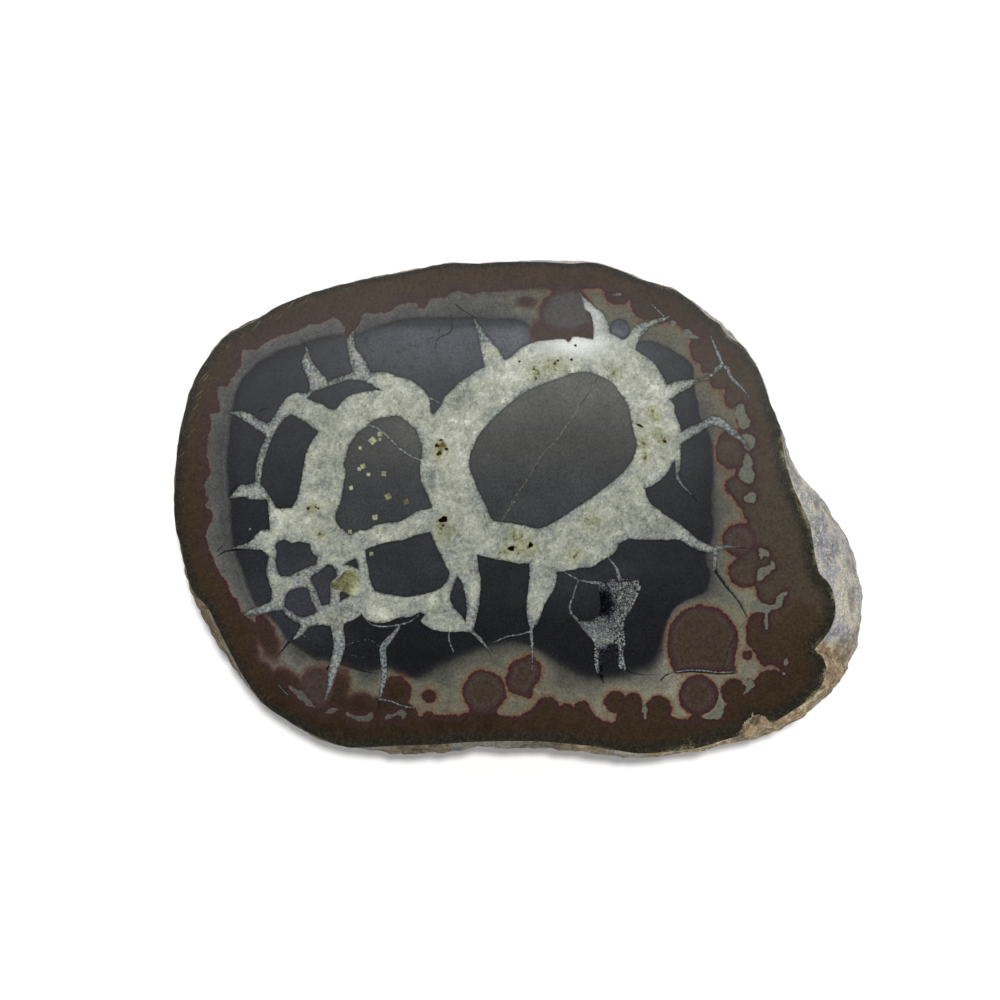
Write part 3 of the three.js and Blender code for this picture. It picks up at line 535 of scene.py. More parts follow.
# cracks and dark hairlines
darkLines = [
    ((0.12, 0.1, 0.05), [(-33.1, 36.1), (-32.2, 37.4), (-31, 38.8)]),
    ((0.14, 0.12, 0.05), [(-9.4, 38.7), (-11, 39.7), (-13, 41.3)]),
    ((0.1, 0.16, 0.12, 0.05), [(-13.8, 39.2), (-13.8, 35.8), (-16.3, 34.3), (-16.9, 32.7), (-16.1, 30.3)]),
    ((0.06, 0.1), [(-16, 36.4), (-16.3, 34.5)]),
    ((0.1, 0.06), [(-7.5, 40.3), (-8.1, 39.1)]),
    ((0.16, 0.1, 0.06, 0.04), [(20.4, -31.2), (22, -32.4), (24.5, -32.9), (29.5, -32.8)]),
    ((0.12, 0.05), [(-5.6, 40.5), (-5, 41.4), (-4.4, 42.7)]),
    ((0.12, 0.05), [(-13, 41.2), (-11.7, 39.9)]),
    ((0.15, 0.2, 0.1), [(-52.4, 18.9), (-52.1, 19.8), (-51.2, 20.2), (-50, 20.3)]),
    ((0.1, 0.2, 0.1), [(-58.6, 2.4), (-57.6, 3.9), (-56.3, 5.1)]),
    ((0.25, 0.2, 0.06), [(-56, -7.9), (-59, -8.3), (-61, -9.6)]),
    ((0.15, 0.12), [(-59.6, -7.2), (-60.6, -8.4)]),
    ((0.25, 0.15, 0.05), [(-46.2, -26.4), (-48.2, -28.8), (-49.3, -30)]),
    ((0.3, 0.25), [(-37.6, -30.6), (-38.6, -31.8)]),
    ((0.08, 0.14, 0.08), [(-36, -30.8), (-31, -32.3), (-28.3, -32.8)]),
    ((0.2, 0.12), [(-28.1, -37.8), (-28.3, -39.6)]),
    ((0.06, 0.1, 0.06), [(-31.2, -21.5), (-29.6, -23.4), (-27.5, -23.9), (-24, -23.6), (-21, -22.6)]),
    ((0.2, 0.12), [(28.2, -34), (29, -33.2), (30.3, -32.6)]),
    ((0.22, 0.2, 0.16), [(31, -32.5), (34, -32.3), (37, -32.5), (40, -32.8), (43.3, -32.6)]),
    ((0.06, 0.08, 0.08), [(45, -22.5), (43.8, -24), (42, -27), (41, -30.5), (40.5, -32.3)]),
    ((0.3, 0.34, 0.2, 0.1),
     [(38.7, -11.6), (40.4, -14.1), (42, -16.1), (43.6, -18.1), (44.6, -20), (45.4, -21.5)]),
    ((0.2, 0.12), [(34.4, 3), (35.4, 1.7)]),
    ((0.15, 0.18, 0.15), [(40, 30.9), (41, 28.9), (42.4, 27)]),
    ((0.12, 0.1), [(43.2, -7.6), (45.4, -7.7)]),
    ((0.12, 0.12, 0.08), [(12, 20.9), (13.2, 22.6), (14.2, 24.2)]),
    ((0.14, 0.12, 0.1), [(14.9, 25.3), (15.3, 26.1), (15.8, 26.9)]),
    ((0.14, 0.1), [(3, 8.3), (3.4, 9)]),
    ((0.14, 0.1), [(-14.3, -25.6), (-14.1, -27.4)]),
]

# faint dashed seam across the big cell
seam = [(-3.6, -2), (-2, 0.5), (-0.5, 3.3), (1.4, 6), (3, 8.5), (4.1, 10.7), (7, 13.7), (10.6, 18.8),
        (12.3, 21.3), (14.2, 24.2), (15.5, 26.4)]

# cubes of pyrite cut by the polish, (x, y, side, turn in degrees)
pyriteCubes = [
    (-28, 15.2, 1.1, 0), (-28, 14.1, 0.7, 0), (-29.5, 13.9, 1.4, 45), (-32, 12.4, 0.8, 0),
    (-31.4, 8.8, 1.1, 20), (-32.2, 8.2, 0.8, 0), (-30.3, 7.1, 0.8, 0), (-27.2, 7.3, 1.1, -5),
    (-33.8, 4.4, 0.9, 15), (-26.4, 2.7, 1.3, 25), (-22.8, 1.7, 1.1, 20), (-29, -1.5, 1.1, 10),
    (-34, -4.3, 0.9, 0), (-29.7, -8.8, 0.9, -10), (-54, -3.8, 0.5, 0), (-1.1, 1.6, 0.5, 0),
]
pyritePatch = [
    (-38, -14.6, 0), (-37.1, -14.3), (-35.7, -12.9), (-34.9, -12.1), (-33.1, -12.1), (-32.3, -13.4),
    (-32, -15.1), (-32.6, -17), (-34, -16.9), (-35.7, -16.1), (-37.7, -15.6),
]

# open pits in the calcite, (x, y, length, width, depth, turn in degrees)
pits = [
    (-15.3, -1.9, 1.9, 1.1, 1.6, 20), (-15.5, 13, 2, 1.7, 0.2, 20), (-16.6, 12.9, 0.9, 0.7, 0.7, 0),
    (-16.2, 11.3, 1.2, 0.8, 0.6, 30), (-14.7, 12.2, 0.8, 0.6, 0.6, 0), (-15.8, 14, 0.9, 0.4, 0.5, 10),
    (-1.7, -7.7, 1.3, 1, 1.3, 10), (2.1, -7, 1.1, 0.9, 1.2, 60), (24, 16.9, 1.7, 0.45, 0.6, -27),
    (-15.4, -3.1, 0.6, 0.5, 0.6, 0), (29, 13.7, 0.7, 0.6, 0.6, 0), (-42.4, 0.3, 0.7, 0.6, 0.6, 0),
    (-40.3, 0.3, 0.5, 0.4, 0.4, 0), (-0.1, 29.7, 0.5, 0.4, 0.5, 0), (6.9, 29.3, 0.6, 0.4, 0.5, 30),
    (7.6, 29.9, 0.5, 0.4, 0.5, 0), (10.3, 30.1, 0.6, 0.5, 0.5, 0), (11.1, 32.9, 0.5, 0.5, 0.5, 0),
    (2.7, 28.2, 0.5, 0.4, 0.4, 0), (3.2, 26.3, 0.6, 0.4, 0.4, 0), (25.1, 10.7, 0.6, 0.4, 0.3, 20),
]
stains = [(-15.3, -4, 2.6), (-1, -5.5, 2.2), (0.8, -7.3, 3), (14, -2, 2), (11, -9, 2), (-16, 12, 2.2),
          (-41.3, 0.3, 1.6), (24.6, 13.4, 2), (25, 10.7, 1.4), (7, 29.5, 3.4), (3, 27.5, 2), (-3, -8, 2),
          (26.5, 19, 2.2), (28, 14.5, 2), (19, 27.5, 1.6), (-40, -5, 1.4)]

# flakes off the edge, (x, y, radius, depth)
chips = [(47.7, -44.6, 3.4, 2.6)]


# the stone: sizes in mm, then its finish
stone = {
    "edgeStep": 0.8,         # spacing of the points round the face
    "faceGrid": 0.75,        # spacing of the plain part of the face
    "loopStep": 0.3,         # spacing along the outlines of the calcite, the cells and the windows
    "rimStep": 0.4,          # along the rim and the odd blobs
    "coreStep": 1.0,
    "smallStep": 0.25,       # along the outlines of the pocket and the pyrite
    "lineStep": 0.22,        # along thin veins and cracks
    "crispRows": (0, 0.2, -0.2),     # rows of points beside an outline that ends crisply
    "softRows": (0, 0.3, -0.3),
    "pyriteRows": (0, 0.25, -0.25),
    "pocketRows": (0.06, -0.06, 0.3, -0.3),
    "edgeRows": (0.35, 0.8, 1.4),
    "cubeGrid": 0.18,        # closer grids over the pyrite cubes, the pits, the pocket and the chips
    "pitGrid": 0.16,
    "pocketGrid": 0.45,
    "chipGrid": 0.3,
    "edgeClear": 0.22,       # no point of the face is closer to its edge
    "leastGap": 0.09,        # of points closer together, one stays
    "shoulderRings": 9,
    "bellyRings": 38,
    "restRings": 4,
    "shoulderShare": 0.24,   # part of the way down that the shoulder takes
    "edgeWall": 3.0,         # plain wall under the edge, where the rind doesn't swell
    "wallPerSwell": 1.15,
    "leastSwell": 0.12,
    "bellyRound": 0.9,
    "restSpot": (3.0, -2.0),
    "restHalf": (16.0, 11.0),    # half length and half width of the rest spot
    "pocketDepth": 4.2,
    "crustRelief": 0.672,    # height of the rind's own roughness
    "brokenDepth": 0.12,     # where a chip is deeper, it has the rind's finish
    "sharpAngle": 46,        # degrees
    "uvSize": 142,           # how much of the stone the whole bake map would hold
    "uvCorner": (69.3, 50.1),    # from the stone's middle to the corner of its island
    "faceIsland": (0.01, 0.29),      # the face's corner on the bake map
    "rindIsland": (0.01, 0.27, 0.98, 0.26),      # the rind's left and top, width and height on it
    "polishRoughness": 0.14,
    "calciteRoughness": 0.24,
    "calciteGrain": 0.55,
}

# the rind's outline seen from above, where it is widest
widestLine = [
    (-69.3, 0), (-68.1, 16), (-64.1, 28.1), (-59, 34.7), (-50, 40), (-38, 44.6), (-20, 48.4),
    (-4, 49.8), (14, 49.7), (24, 46.5), (34, 42.3), (41.3, 36.4), (46.6, 30.7), (50.4, 21.5),
    (53.2, 14.5), (55.9, 7.6), (60, 3.1), (63.7, -2), (66.6, -7), (68.4, -14), (68.9, -19),
    (68.5, -25), (66.7, -31), (63.8, -35.4), (59.1, -39.9), (54, -43.4), (49.2, -45.9), (43, -46.9),
    (35, -48.5), (24, -49.9), (14, -48.9), (2, -47.8), (-9, -47.9), (-20, -49.1), (-27, -48.7),
    (-33, -47.6), (-39.7, -46.2), (-47, -42.1), (-51.9, -38.7), (-56.6, -32.8), (-62.1, -24.5),
    (-65.6, -17.9), (-68.2, -7),
]
# lumps and hollows of the rind, (direction in degrees, way down from 0 to 1, height, width)
rindLumps = [
    (-8, 0.42, 1.6, 11), (-24, 0.5, 2.4, 12), (-40, 0.38, -1.7, 7), (-58, 0.55, 2.8, 14),
    (-88, 0.45, -1.6, 12), (-112, 0.4, 1.7, 10), (-130, 0.6, 2.6, 14), (-156, 0.45, 1.8, 10),
    (178, 0.58, 2.2, 13), (160, 0.68, -2, 12), (146, 0.42, 1.8, 12), (118, 0.55, 2.6, 15),
    (92, 0.4, -1.5, 12), (70, 0.6, 2.7, 14), (44, 0.44, -1.8, 11), (26, 0.6, 2.4, 13),
    (6, 0.66, -2, 11), (-30, 0.74, 2.2, 12), (-104, 0.75, -1.7, 11), (128, 0.82, 1.5, 10),
    (-70, 0.78, 1.6, 11), (64, 0.8, -1.4, 10),
]
# ledges of the rind, (level, step, direction in degrees, spread in degrees)
rindLedges = [(33, 1.3, -22, 48), (25, 1.9, -50, 60), (30, 1.2, -150, 40), (22, 1.7, 150, 70),
              (15, 1.8, 30, 70), (11, 1.5, -110, 60)]

faceLoop = smoothPath(faceEdge, stone["edgeStep"])[::-1]     # anticlockwise
calciteLoop = smoothPath(calciteEdge, stone["loopStep"])
cellLoops = [smoothPath(island, stone["loopStep"]) for island in marlIslands]
rimLoop = smoothPath(rimInside, stone["rimStep"])
windowLoops = [smoothPath(window, stone["loopStep"]) for window in rimWindows]
oddBlobLoops = [smoothPath(blob, stone["rimStep"]) for blob in oddBlobs]
coreLoop = smoothPath(coreEdge, stone["coreStep"])
pocketLoop = smoothPath(pocketEdge, stone["smallStep"])
pyriteLoop = smoothPath(pyritePatch, stone["smallStep"])
seamLine = [((0.1,), seam)]


# Every point that the face needs: a plain grid, and closer rows wherever something is drawn
def facePoints():
    sets = [gridOver(faceLoop.min(0), faceLoop.max(0), stone["faceGrid"])]
    sets += [rowsBeside(loop, stone["crispRows"]) for loop in [calciteLoop] + cellLoops]
    sets += [rowsBeside(loop, stone["softRows"]) for loop in [rimLoop] + windowLoops + oddBlobLoops]
    for x, y, halfLength, halfWidth, turn in blobs:
        count = max(10, round(7 * (halfLength + halfWidth)))
        sets.append(rowsBeside(ellipse(x, y, halfLength, halfWidth, turn, count), stone["softRows"]))
    for widths, corners in paleLines + darkLines + seamLine:
        path = smoothPath(corners, stone["lineStep"], closed=False)
        side = max(widths) + 0.1
        sets.append(rowsBeside(path, (0, side, -side), closed=False))
    sets += [gridAround(x, y, side, stone["cubeGrid"]) for x, y, side, turn in pyriteCubes]
    sets.append(rowsBeside(pyriteLoop, stone["pyriteRows"]))
    sets += [gridAround(x, y, length, stone["pitGrid"]) for x, y, length, width, deep, turn in pits]
    sets.append(rowsBeside(pocketLoop, stone["pocketRows"]))
    sets.append(gridOver(pocketLoop.min(0) - 0.5, pocketLoop.max(0) + 0.5, stone["pocketGrid"]))
    sets += [gridAround(x, y, radius, stone["chipGrid"]) for x, y, radius, deep in chips]
    sets.append(rowsBeside(faceLoop, stone["edgeRows"]))
    points = np.concatenate(sets)
    points = points[insideBy(points, faceLoop, 1.0) > stone["edgeClear"]]
    cell = np.round(points / stone["leastGap"]).astype(int)
    keep = np.unique(cell, axis=0, return_index=True)[1]
    return points[np.sort(keep)]


# How light each mineral is from place to place, as round lobes: (worth, x, y, how wide, how high).
# The marl's cells are greyer than the core round them, the halo is palest at the lower right.
toneLobes = {
    "marl": [(0.022, -45, -20, 11, 9), (0.05, -1, 35, 6, 2.5), (0.02, 8, 34, 8, 4), (0.007, 33, 9, 3, 6),
             (0.006, -16, -12.5, 2.5, 2.5), (0.012, 10, -15, 5, 4), (0.012, 20, -12, 4, 1.8),
             (0.044, 19.9, 36.2, 3, 3), (-0.003, -20, -30, 6, 3)],
    "cell": [(0.024, -21.5, 15, 5, 4)],
    "haloOut": [(0.085, 28, -34, 16, 12), (0.027, 18, 36, 14, 8), (0.045, 1, 37.5, 6, 4),
                (-0.035, -60, 11, 5, 8)],
    "haloIn": [(0.07, 28, -27, 8, 9), (0.055, 34, 28, 12, 12), (0.05, 14, 38, 12, 5)],
    "haloWarm": [(0.6, 30, 30, 16, 12)],
    "rim": [(-0.25, 28, 36, 16, 9), (-0.55, 48, 18, 8, 9), (-0.3, 43, 30, 4, 5)],
    "calcite": [(0.15, -1, 29, 8, 4), (0.1, -15, 12, 5, 9), (0.06, 27, 16, 7, 12), (0.06, -44, -3, 6, 5),
                (-0.03, -26, -20, 8, 3), (-0.07, -36, 0, 4, 9), (-0.1, -12, -6, 3.5, 4),
                (0.16, -29.4, -19.6, 1.8, 1.5), (0.16, -27.2, -21, 1.8, 1.3), (0.06, -23, 22.5, 6, 4),
                (0.13, -52.5, 4, 3, 1.8), (0.12, -48.5, -0.5, 3, 3), (-0.14, -12.7, 22.5, 3, 3),
                (-0.16, -17.4, 6.8, 2.2, 3), (-0.09, 27, -4, 7, 5)],
    # whiter calcite at the top of the ring, with a painted highlight over it
    "chalkAndHighlightLow": [(0.95, 11, 33.2, 7, 2.6)],
    "chalkAndHighlightHigh": [(0.6, 13.5, 38, 3, 4.5)],
    "soft": [(0.8, 2, 39, 6, 6)],
}


# The lobes of one name, added up
def lobes(name, x, y):
    return sum(worth * np.exp(-((x - atX) / wide) ** 2 - ((y - atY) / high) ** 2)
               for worth, atX, atY, wide, high in toneLobes[name])


# Marl is darkest at the bottom of the core and pales towards the top, partly its own tone and partly
# painted haze of the lamp's reflection in the polish; it darkens again a little where the core ends
def marlTone(x, y, points, core):
    side = smoothStep(14, 45, abs(x + 4))
    marl = (0.014 + 0.008 * smoothStep(-24, -12, y) + 0.011 * smoothStep(-12, 6, y)
            + 0.012 * smoothStep(10, 26, y) * (1 - 0.6 * side)
            + 0.045 * smoothStep(24, 34, y) * (1 - smoothStep(35.5, 37.3, y)) * (1 - side)
            - 0.008 * smoothStep(28, 40, abs(x + 4)) * smoothStep(-12, 0, y) + lobes("marl", x, y))
    cell = np.max([insideBy(points, loop, 1.0) for loop in cellLoops[:2]], 0) > -0.9
    smallCell = np.max([insideBy(points, loop, 1.0) for loop in cellLoops[4:]], 0) > -0.9
    cellMarl = (0.046 + 0.01 * smoothStep(4, 14, y) + 0.042 * smoothStep(14, 26, y) * smoothStep(-14, -6, x)
                + lobes("cell", x, y))
    tone = np.where(cell, cellMarl, marl + 0.012 * smallCell)
    olive = np.where(cell, 0.35 + 0.65 * smoothStep(2, 20, y), 0.0)
    return olive, tone * (1 - 0.2 * smoothStep(2.6, 1.0, core) * smoothStep(-10, 5, y)
                          - 0.35 * smoothStep(0.9, 0.2, core) * smoothStep(10, 25, y))


# The halo pales from the core to the siderite, by a different measure from side to side
def haloTone(x, y, core, siderite):
    near = (0.115 + 0.04 * smoothStep(0, -30, y) + 0.03 * smoothStep(25, 42, x) * smoothStep(25, 5, y)
            - 0.014 * smoothStep(22, 40, y) * (1 - 0.7 * smoothStep(20, 38, x)) + lobes("haloOut", x, y))
    far = 0.045 - 0.022 * smoothStep(-12, -30, y) + lobes("haloIn", x, y)
    fromCore = np.maximum(-core, 0)
    across = fromCore / (fromCore + np.maximum(-siderite, 0) + 0.05)
    warm = 0.3 + 0.7 * np.maximum(smoothStep(10, -25, y) * smoothStep(-60, -30, x), smoothStep(-12, 8, x))
    warm = np.minimum((0.3 + 0.7 * across) * warm + lobes("haloWarm", x, y), 1)
    return far + (near - far) * across ** 0.85, warm


# The rim and the calcite vary from place to place, and one vein near the top is chalky white with a painted
# highlight over it
def plainTones(x, y):
    fringe = 0.3 + 0.7 * np.maximum(smoothStep(-5, -25, y) * (0.45 + 0.55 * smoothStep(-34, -12, x)),
                                    smoothStep(-2, 12, x))
    rim = (-0.25 * smoothStep(-30, -40, y) * smoothStep(5, -12, x) - 0.22 * smoothStep(24, 38, y)
           + 0.5 * smoothStep(-38, -2, y) * (1 - 0.7 * smoothStep(-25, -50, x))
           + 0.12 * smoothStep(10, 32, y) * smoothStep(0, -40, x)
           + 0.35 * smoothStep(34, 48, x) * smoothStep(-34, -8, y) * (1 - 0.6 * smoothStep(20, 36, y))
           + lobes("rim", x, y))
    # the calcite pales towards the top, partly its own tone and partly painted haze of the lamp's
    # reflection in the polish
    bright = (0.02 + 0.05 * smoothStep(-12, 10, y) + 0.06 * smoothStep(10, 28, y)
              - 0.05 * smoothStep(-30, -44, x) * smoothStep(8, 16, y)
              - 0.06 * smoothStep(-12, -20, y) * smoothStep(-30, -36, x) + lobes("calcite", x, y))
    chalkAndHighlight = np.maximum(lobes("chalkAndHighlightLow", x, y), lobes("chalkAndHighlightHigh", x, y))
    return {"fringe": fringe, "rimTone": np.clip(rim, -0.3, 1), "bright": bright, "chalkAndHighlight": chalkAndHighlight}


# How far inside the calcite each point is, and how far off the broad parts of its veins are
def calciteFields(points):
    calcite = insideBy(points, calciteLoop, 4.0)
    for loop in cellLoops:
        calcite = np.minimum(calcite, -insideBy(points, loop, 4.0))
    far = np.zeros(len(points))
    close = calcite > -1.5
    far[close] = nearestTo(points[calcite > 1.6], points[close])[1]
    return calcite, far


# How far inside the siderite each point is, inside its large blobs, and inside the rim's windows
def sideriteFields(points):
    blob = np.full(len(points), -4.0)
    large = blob
    for atX, atY, halfLength, halfWidth, turn in blobs:
        along, across = turnedFrom(points, atX, atY, turn)
        least = min(halfLength, halfWidth)
        inside = (1 - np.hypot(along / halfLength, across / halfWidth)) * least
        blob = np.maximum(blob, inside)
        large = np.maximum(large, inside) if least > 3.2 else large
    for loop in oddBlobLoops:
        inside = insideBy(points, loop, 6.0)
        blob = np.maximum(blob, inside)
        large = np.maximum(large, inside) if inside.max() > 2.8 else large
    siderite = np.maximum(-insideBy(points, rimLoop, 12.0), blob)
    window = np.full(len(points), -1.0)
    for loop in windowLoops:
        siderite = np.minimum(siderite, -insideBy(points, loop, 12.0))
        window = np.maximum(window, insideBy(points, loop, 1.0))
    return siderite, large, window


# The fields that the finish is drawn from: distances in mm, above zero inside, and tones
def faceFields(points):
    x, y = points.T
    calcite, farFromBroad = calciteFields(points)
    siderite, largeBlob, window = sideriteFields(points)
    discX, discY, discRadius = loneDisc
    core = np.maximum(insideBy(points, coreLoop, 8.0), 3 * (discRadius - np.hypot(x - discX, y - discY)))
    pyrite = insideBy(points, pyriteLoop, 3.0)
    for atX, atY, side, turn in pyriteCubes:
        along, across = turnedFrom(points, atX, atY, turn)
        pyrite = np.maximum(pyrite, side / 2 - 0.08 - np.maximum(abs(along), abs(across)))
    stain = np.zeros(len(points))
    for atX, atY, radius in stains:
        stain = np.maximum(stain, np.exp(-((x - atX) ** 2 + (y - atY) ** 2) / radius ** 2))
    olive, tone = marlTone(x, y, points, core)
    halo, warm = haloTone(x, y, core, siderite)
    # the outer band of the rim goes dark over a width that is largest at the lower right
    band = (1.0 + 0.7 * smoothStep(10, 35, x) + 0.7 * smoothStep(46, 54, x)
            + 0.9 * smoothStep(-34, -46, y) + 0.5 * smoothStep(-50, -60, x))
    soft = 0.95 * smoothStep(-22, -34, x) * smoothStep(-20, -28, y) * smoothStep(-0.3, -0.9, window)
    blur = 0.3 + 1.3 * smoothStep(-22, -31, y) + 0.3 * smoothStep(36, 42, x) * smoothStep(14, 4, y)
    return {
        "calcite": calcite, "core": core, "siderite": siderite - 0.65, "blob": largeBlob,
        "edge": insideBy(points, faceLoop, 8.0) / band, "pyrite": pyrite, "stain": stain,
        "paleLine": lineField(points, paleLines), "darkLine": lineField(points, darkLines),
        "seam": lineField(points, seamLine), "window": window,
        "thin": smoothStep(1.7, 3.6, farFromBroad), "soft": soft + lobes("soft", x, y), "blur": blur,
        "olive": olive, "tone": tone, "halo": halo, "warm": warm, **plainTones(x, y),
    }


# How far each point lies under the polish: in the pocket, in the pits, and where flakes came off
def faceDepth(points):
    x, y = points.T
    pocket = stone["pocketDepth"] * smoothStep(-0.06, 0.3, insideBy(points, pocketLoop, 1.0))
    sunk = np.zeros(len(points))
    for atX, atY, length, width, deep, turn in pits:
        angle = np.arctan2(y - atY, x - atX)
        ragged = 1 + 0.16 * np.sin(3 * angle + atX) + 0.1 * np.sin(5 * angle + atY)
        along, across = turnedFrom(points, atX, atY, turn)
        reach = np.hypot(along / length, across / width) * 2 / ragged
        sunk = np.maximum(sunk, deep * smoothStep(1.1, 0.45, reach))
    chipped = np.zeros(len(points))
    for atX, atY, radius, deep in chips:
        reach = np.hypot(x - atX, y - atY) / radius
        for i in np.where(reach < 1.3)[0]:
            uneven = noise.fractal(Vector((x[i] * 0.5, y[i] * 0.9, atX)), 1.0, 2.0, 4) * 0.9
            part = max(0.0, 1.05 - reach[i] + 0.25 * uneven)
            layered = math.floor(part * 6) / 6 * 0.6 + part * 0.4
            chipped[i] = max(chipped[i], deep * min(1.0, layered * 1.3))
    return pocket, sunk, chipped


# Relief of the rind, in the same words as the solid: waves, lumps and ledges
def rindRelief(x, y, z, direction, down):
    def degreesFrom(other):
        return abs((np.degrees(direction) - other + 180) % 360 - 180)

    relief = (0.45 * np.sin(0.19 * x + 1.1) * np.sin(0.23 * y + 0.16 * z)
              + 0.3 * np.sin(0.41 * y - 0.2 * x + 2.3) * np.cos(0.37 * z + 0.13 * x)
              + 0.2 * np.sin(0.52 * x + 0.45 * z) * np.sin(0.46 * y + 0.9))
    for lumpDirection, lumpDown, height, width in rindLumps:
        across = np.radians(degreesFrom(lumpDirection)) * np.hypot(x, y)
        along = (down - lumpDown) * 1.5 * polish
        relief = relief + height * np.exp(-(across ** 2 + along ** 2) / width ** 2)
    for level, step, ledgeDirection, spread in rindLedges:
        near = 1 - smoothStep(0.3 * spread, spread, degreesFrom(ledgeDirection))
        below = level - z
        relief = relief + np.where(below > 0, step * near * np.exp(-np.maximum(below, 0) / 4), 0)
    return relief * smoothStep(0.14, 0.6, down) * (1 - smoothStep(0.8, 1, down))


# Small roughness of the rind: knobs, layers that stand out a little, and pocks
def crustAt(x, y, z):
    place = Vector((x, y, z))
    knobs = noise.fractal(place * 0.16, 1.0, 2.1, 4)
    layers = math.sin(1.9 * z + 2.2 * noise.noise(place * 0.07) + 0.02 * x)
    cells = noise.voronoi(place * 0.3)[0]
    pocks = min(1.0, (cells[1] - cells[0]) * 1.6)
    fine = noise.fractal(place * 0.9, 0.8, 2.0, 3)
    return 0.75 * knobs + 0.22 * layers + 0.55 * (pocks - 0.6) + 0.3 * fine


# The rind ring by ring from the polished edge to the rest spot: places, roughness, way down (0 to 1)
def rindRings(edgeZ):
    widest = smoothPath(widestLine, 0.9)[::-1]
    widestAngle = np.arctan2(widest[:, 1], widest[:, 0])
    order = np.argsort(widestAngle)
    direction = np.arctan2(faceLoop[:, 1], faceLoop[:, 0])
    radius = np.hypot(*faceLoop.T)
    outward = faceLoop / radius[:, None]
    reach = np.interp(direction, widestAngle[order], np.hypot(*widest[order].T), period=2 * math.pi)
    swell = np.maximum(reach - radius, stone["leastSwell"])
    wall = stone["edgeWall"] + stone["wallPerSwell"] * swell
    middle = np.array(stone["restSpot"])
    rest = middle + np.stack([np.cos(direction), np.sin(direction)], 1) * stone["restHalf"]
    shoulder, belly, share = stone["shoulderRings"], stone["bellyRings"], stone["shoulderShare"]
    places = []
    roughness = []
    downs = []
    for ring in range(1, shoulder + belly + 1):
        if ring <= shoulder:
            part = ring / shoulder
            down = share * part
            lean = 0.0
            flat = faceLoop + outward * (swell * math.sin(part * math.pi / 2))[:, None]
            z = polish - wall * part ** 1.3
        else:
            part = (ring - shoulder) / belly
            down = share + (1 - share) * part
            lean = part * math.pi / 2
            blendIn = math.cos(lean) ** stone["bellyRound"] if part < 1 else 0.0
            flat = rest + (outward * (radius + swell)[:, None] - rest) * blendIn
            z = (polish - wall) * (1 - math.sin(lean))
        fade = smoothStep(0.0, 0.1, down) * (1 - smoothStep(0.9, 1.0, down))
        small = fade * np.array([crustAt(*place) for place in zip(*flat.T, z)])
        # thin walls leave little room, so the roughness grows with the swell
        room = np.clip(0.45 + 0.3 * swell + 1.5 * max(0.0, down - share), 0, 1)
        move = rindRelief(*flat.T, z, direction, down) + (small - 0.25 * fade) * stone["crustRelief"] * room
        flat = flat + outward * (move * math.cos(lean))[:, None]
        z = np.minimum(z - move * math.sin(lean), edgeZ - 0.05 * ring) * (ring < shoulder + belly)
        places.append(np.column_stack([flat, np.maximum(z, 0)]))
        roughness.append(small)
        downs.append(np.full(len(flat), down))
    # the last ring is the rest spot's edge, and smaller ones fill the spot
    outermost = places[-1]
    for ring in range(1, stone["restRings"] + 1):
        part = 1 - ring / (stone["restRings"] + 1)
        places.append(np.column_stack([middle + (outermost[:, :2] - middle) * part, outermost[:, 2]]))
        roughness.append(np.zeros(len(outermost)))
        downs.append(np.ones(len(outermost)))
    return np.concatenate(places), np.concatenate(roughness), np.concatenate(downs)


# Bake map: one flat island for the face, one long strip for the rind
def unwrapStone(mesh, places, column, way, faceCount, count):
    corner = readAll(mesh.loops, "vertex_index")
    starts = readAll(mesh.polygons, "loop_start")
    owner = np.repeat(np.arange(len(starts)), readAll(mesh.polygons, "loop_total"))
    around = column[corner]
    # faces that close a ring have their first column again at its end
    closing = np.any([around[starts + k] == count - 1 for k in range(3)], axis=0)
    around = np.where(closing[owner] & (around == 0), count, around)
    atCentre = corner == len(places) - 1
    around = np.where(atCentre, np.roll(around, 1), around)
    onFace = owner < faceCount
    faceUv = (places[corner, :2] + stone["uvCorner"]) / stone["uvSize"] + stone["faceIsland"]
    left, top, wide, high = stone["rindIsland"]
    downwards = np.where(atCentre, 1.0, way[corner] * 0.96)
    rindUv = np.stack([left + wide * around / count, top - high * downwards], 1)
    uv = np.where(onFace[:, None], faceUv, rindUv).astype(np.float32)
    mesh.uv_layers.new(name="OFBake").data.foreach_set("uv", uv.ravel())


# Marks every edge between two of the given points as sharp
def sharpenRing(mesh, ring):
    inRing = np.isin(readAll(mesh.edges, "vertices", width=2), ring).all(1)
    sharp = readAll(mesh.edges, "use_edge_sharp", bool)
    mesh.edges.foreach_set("use_edge_sharp", sharp | inRing)


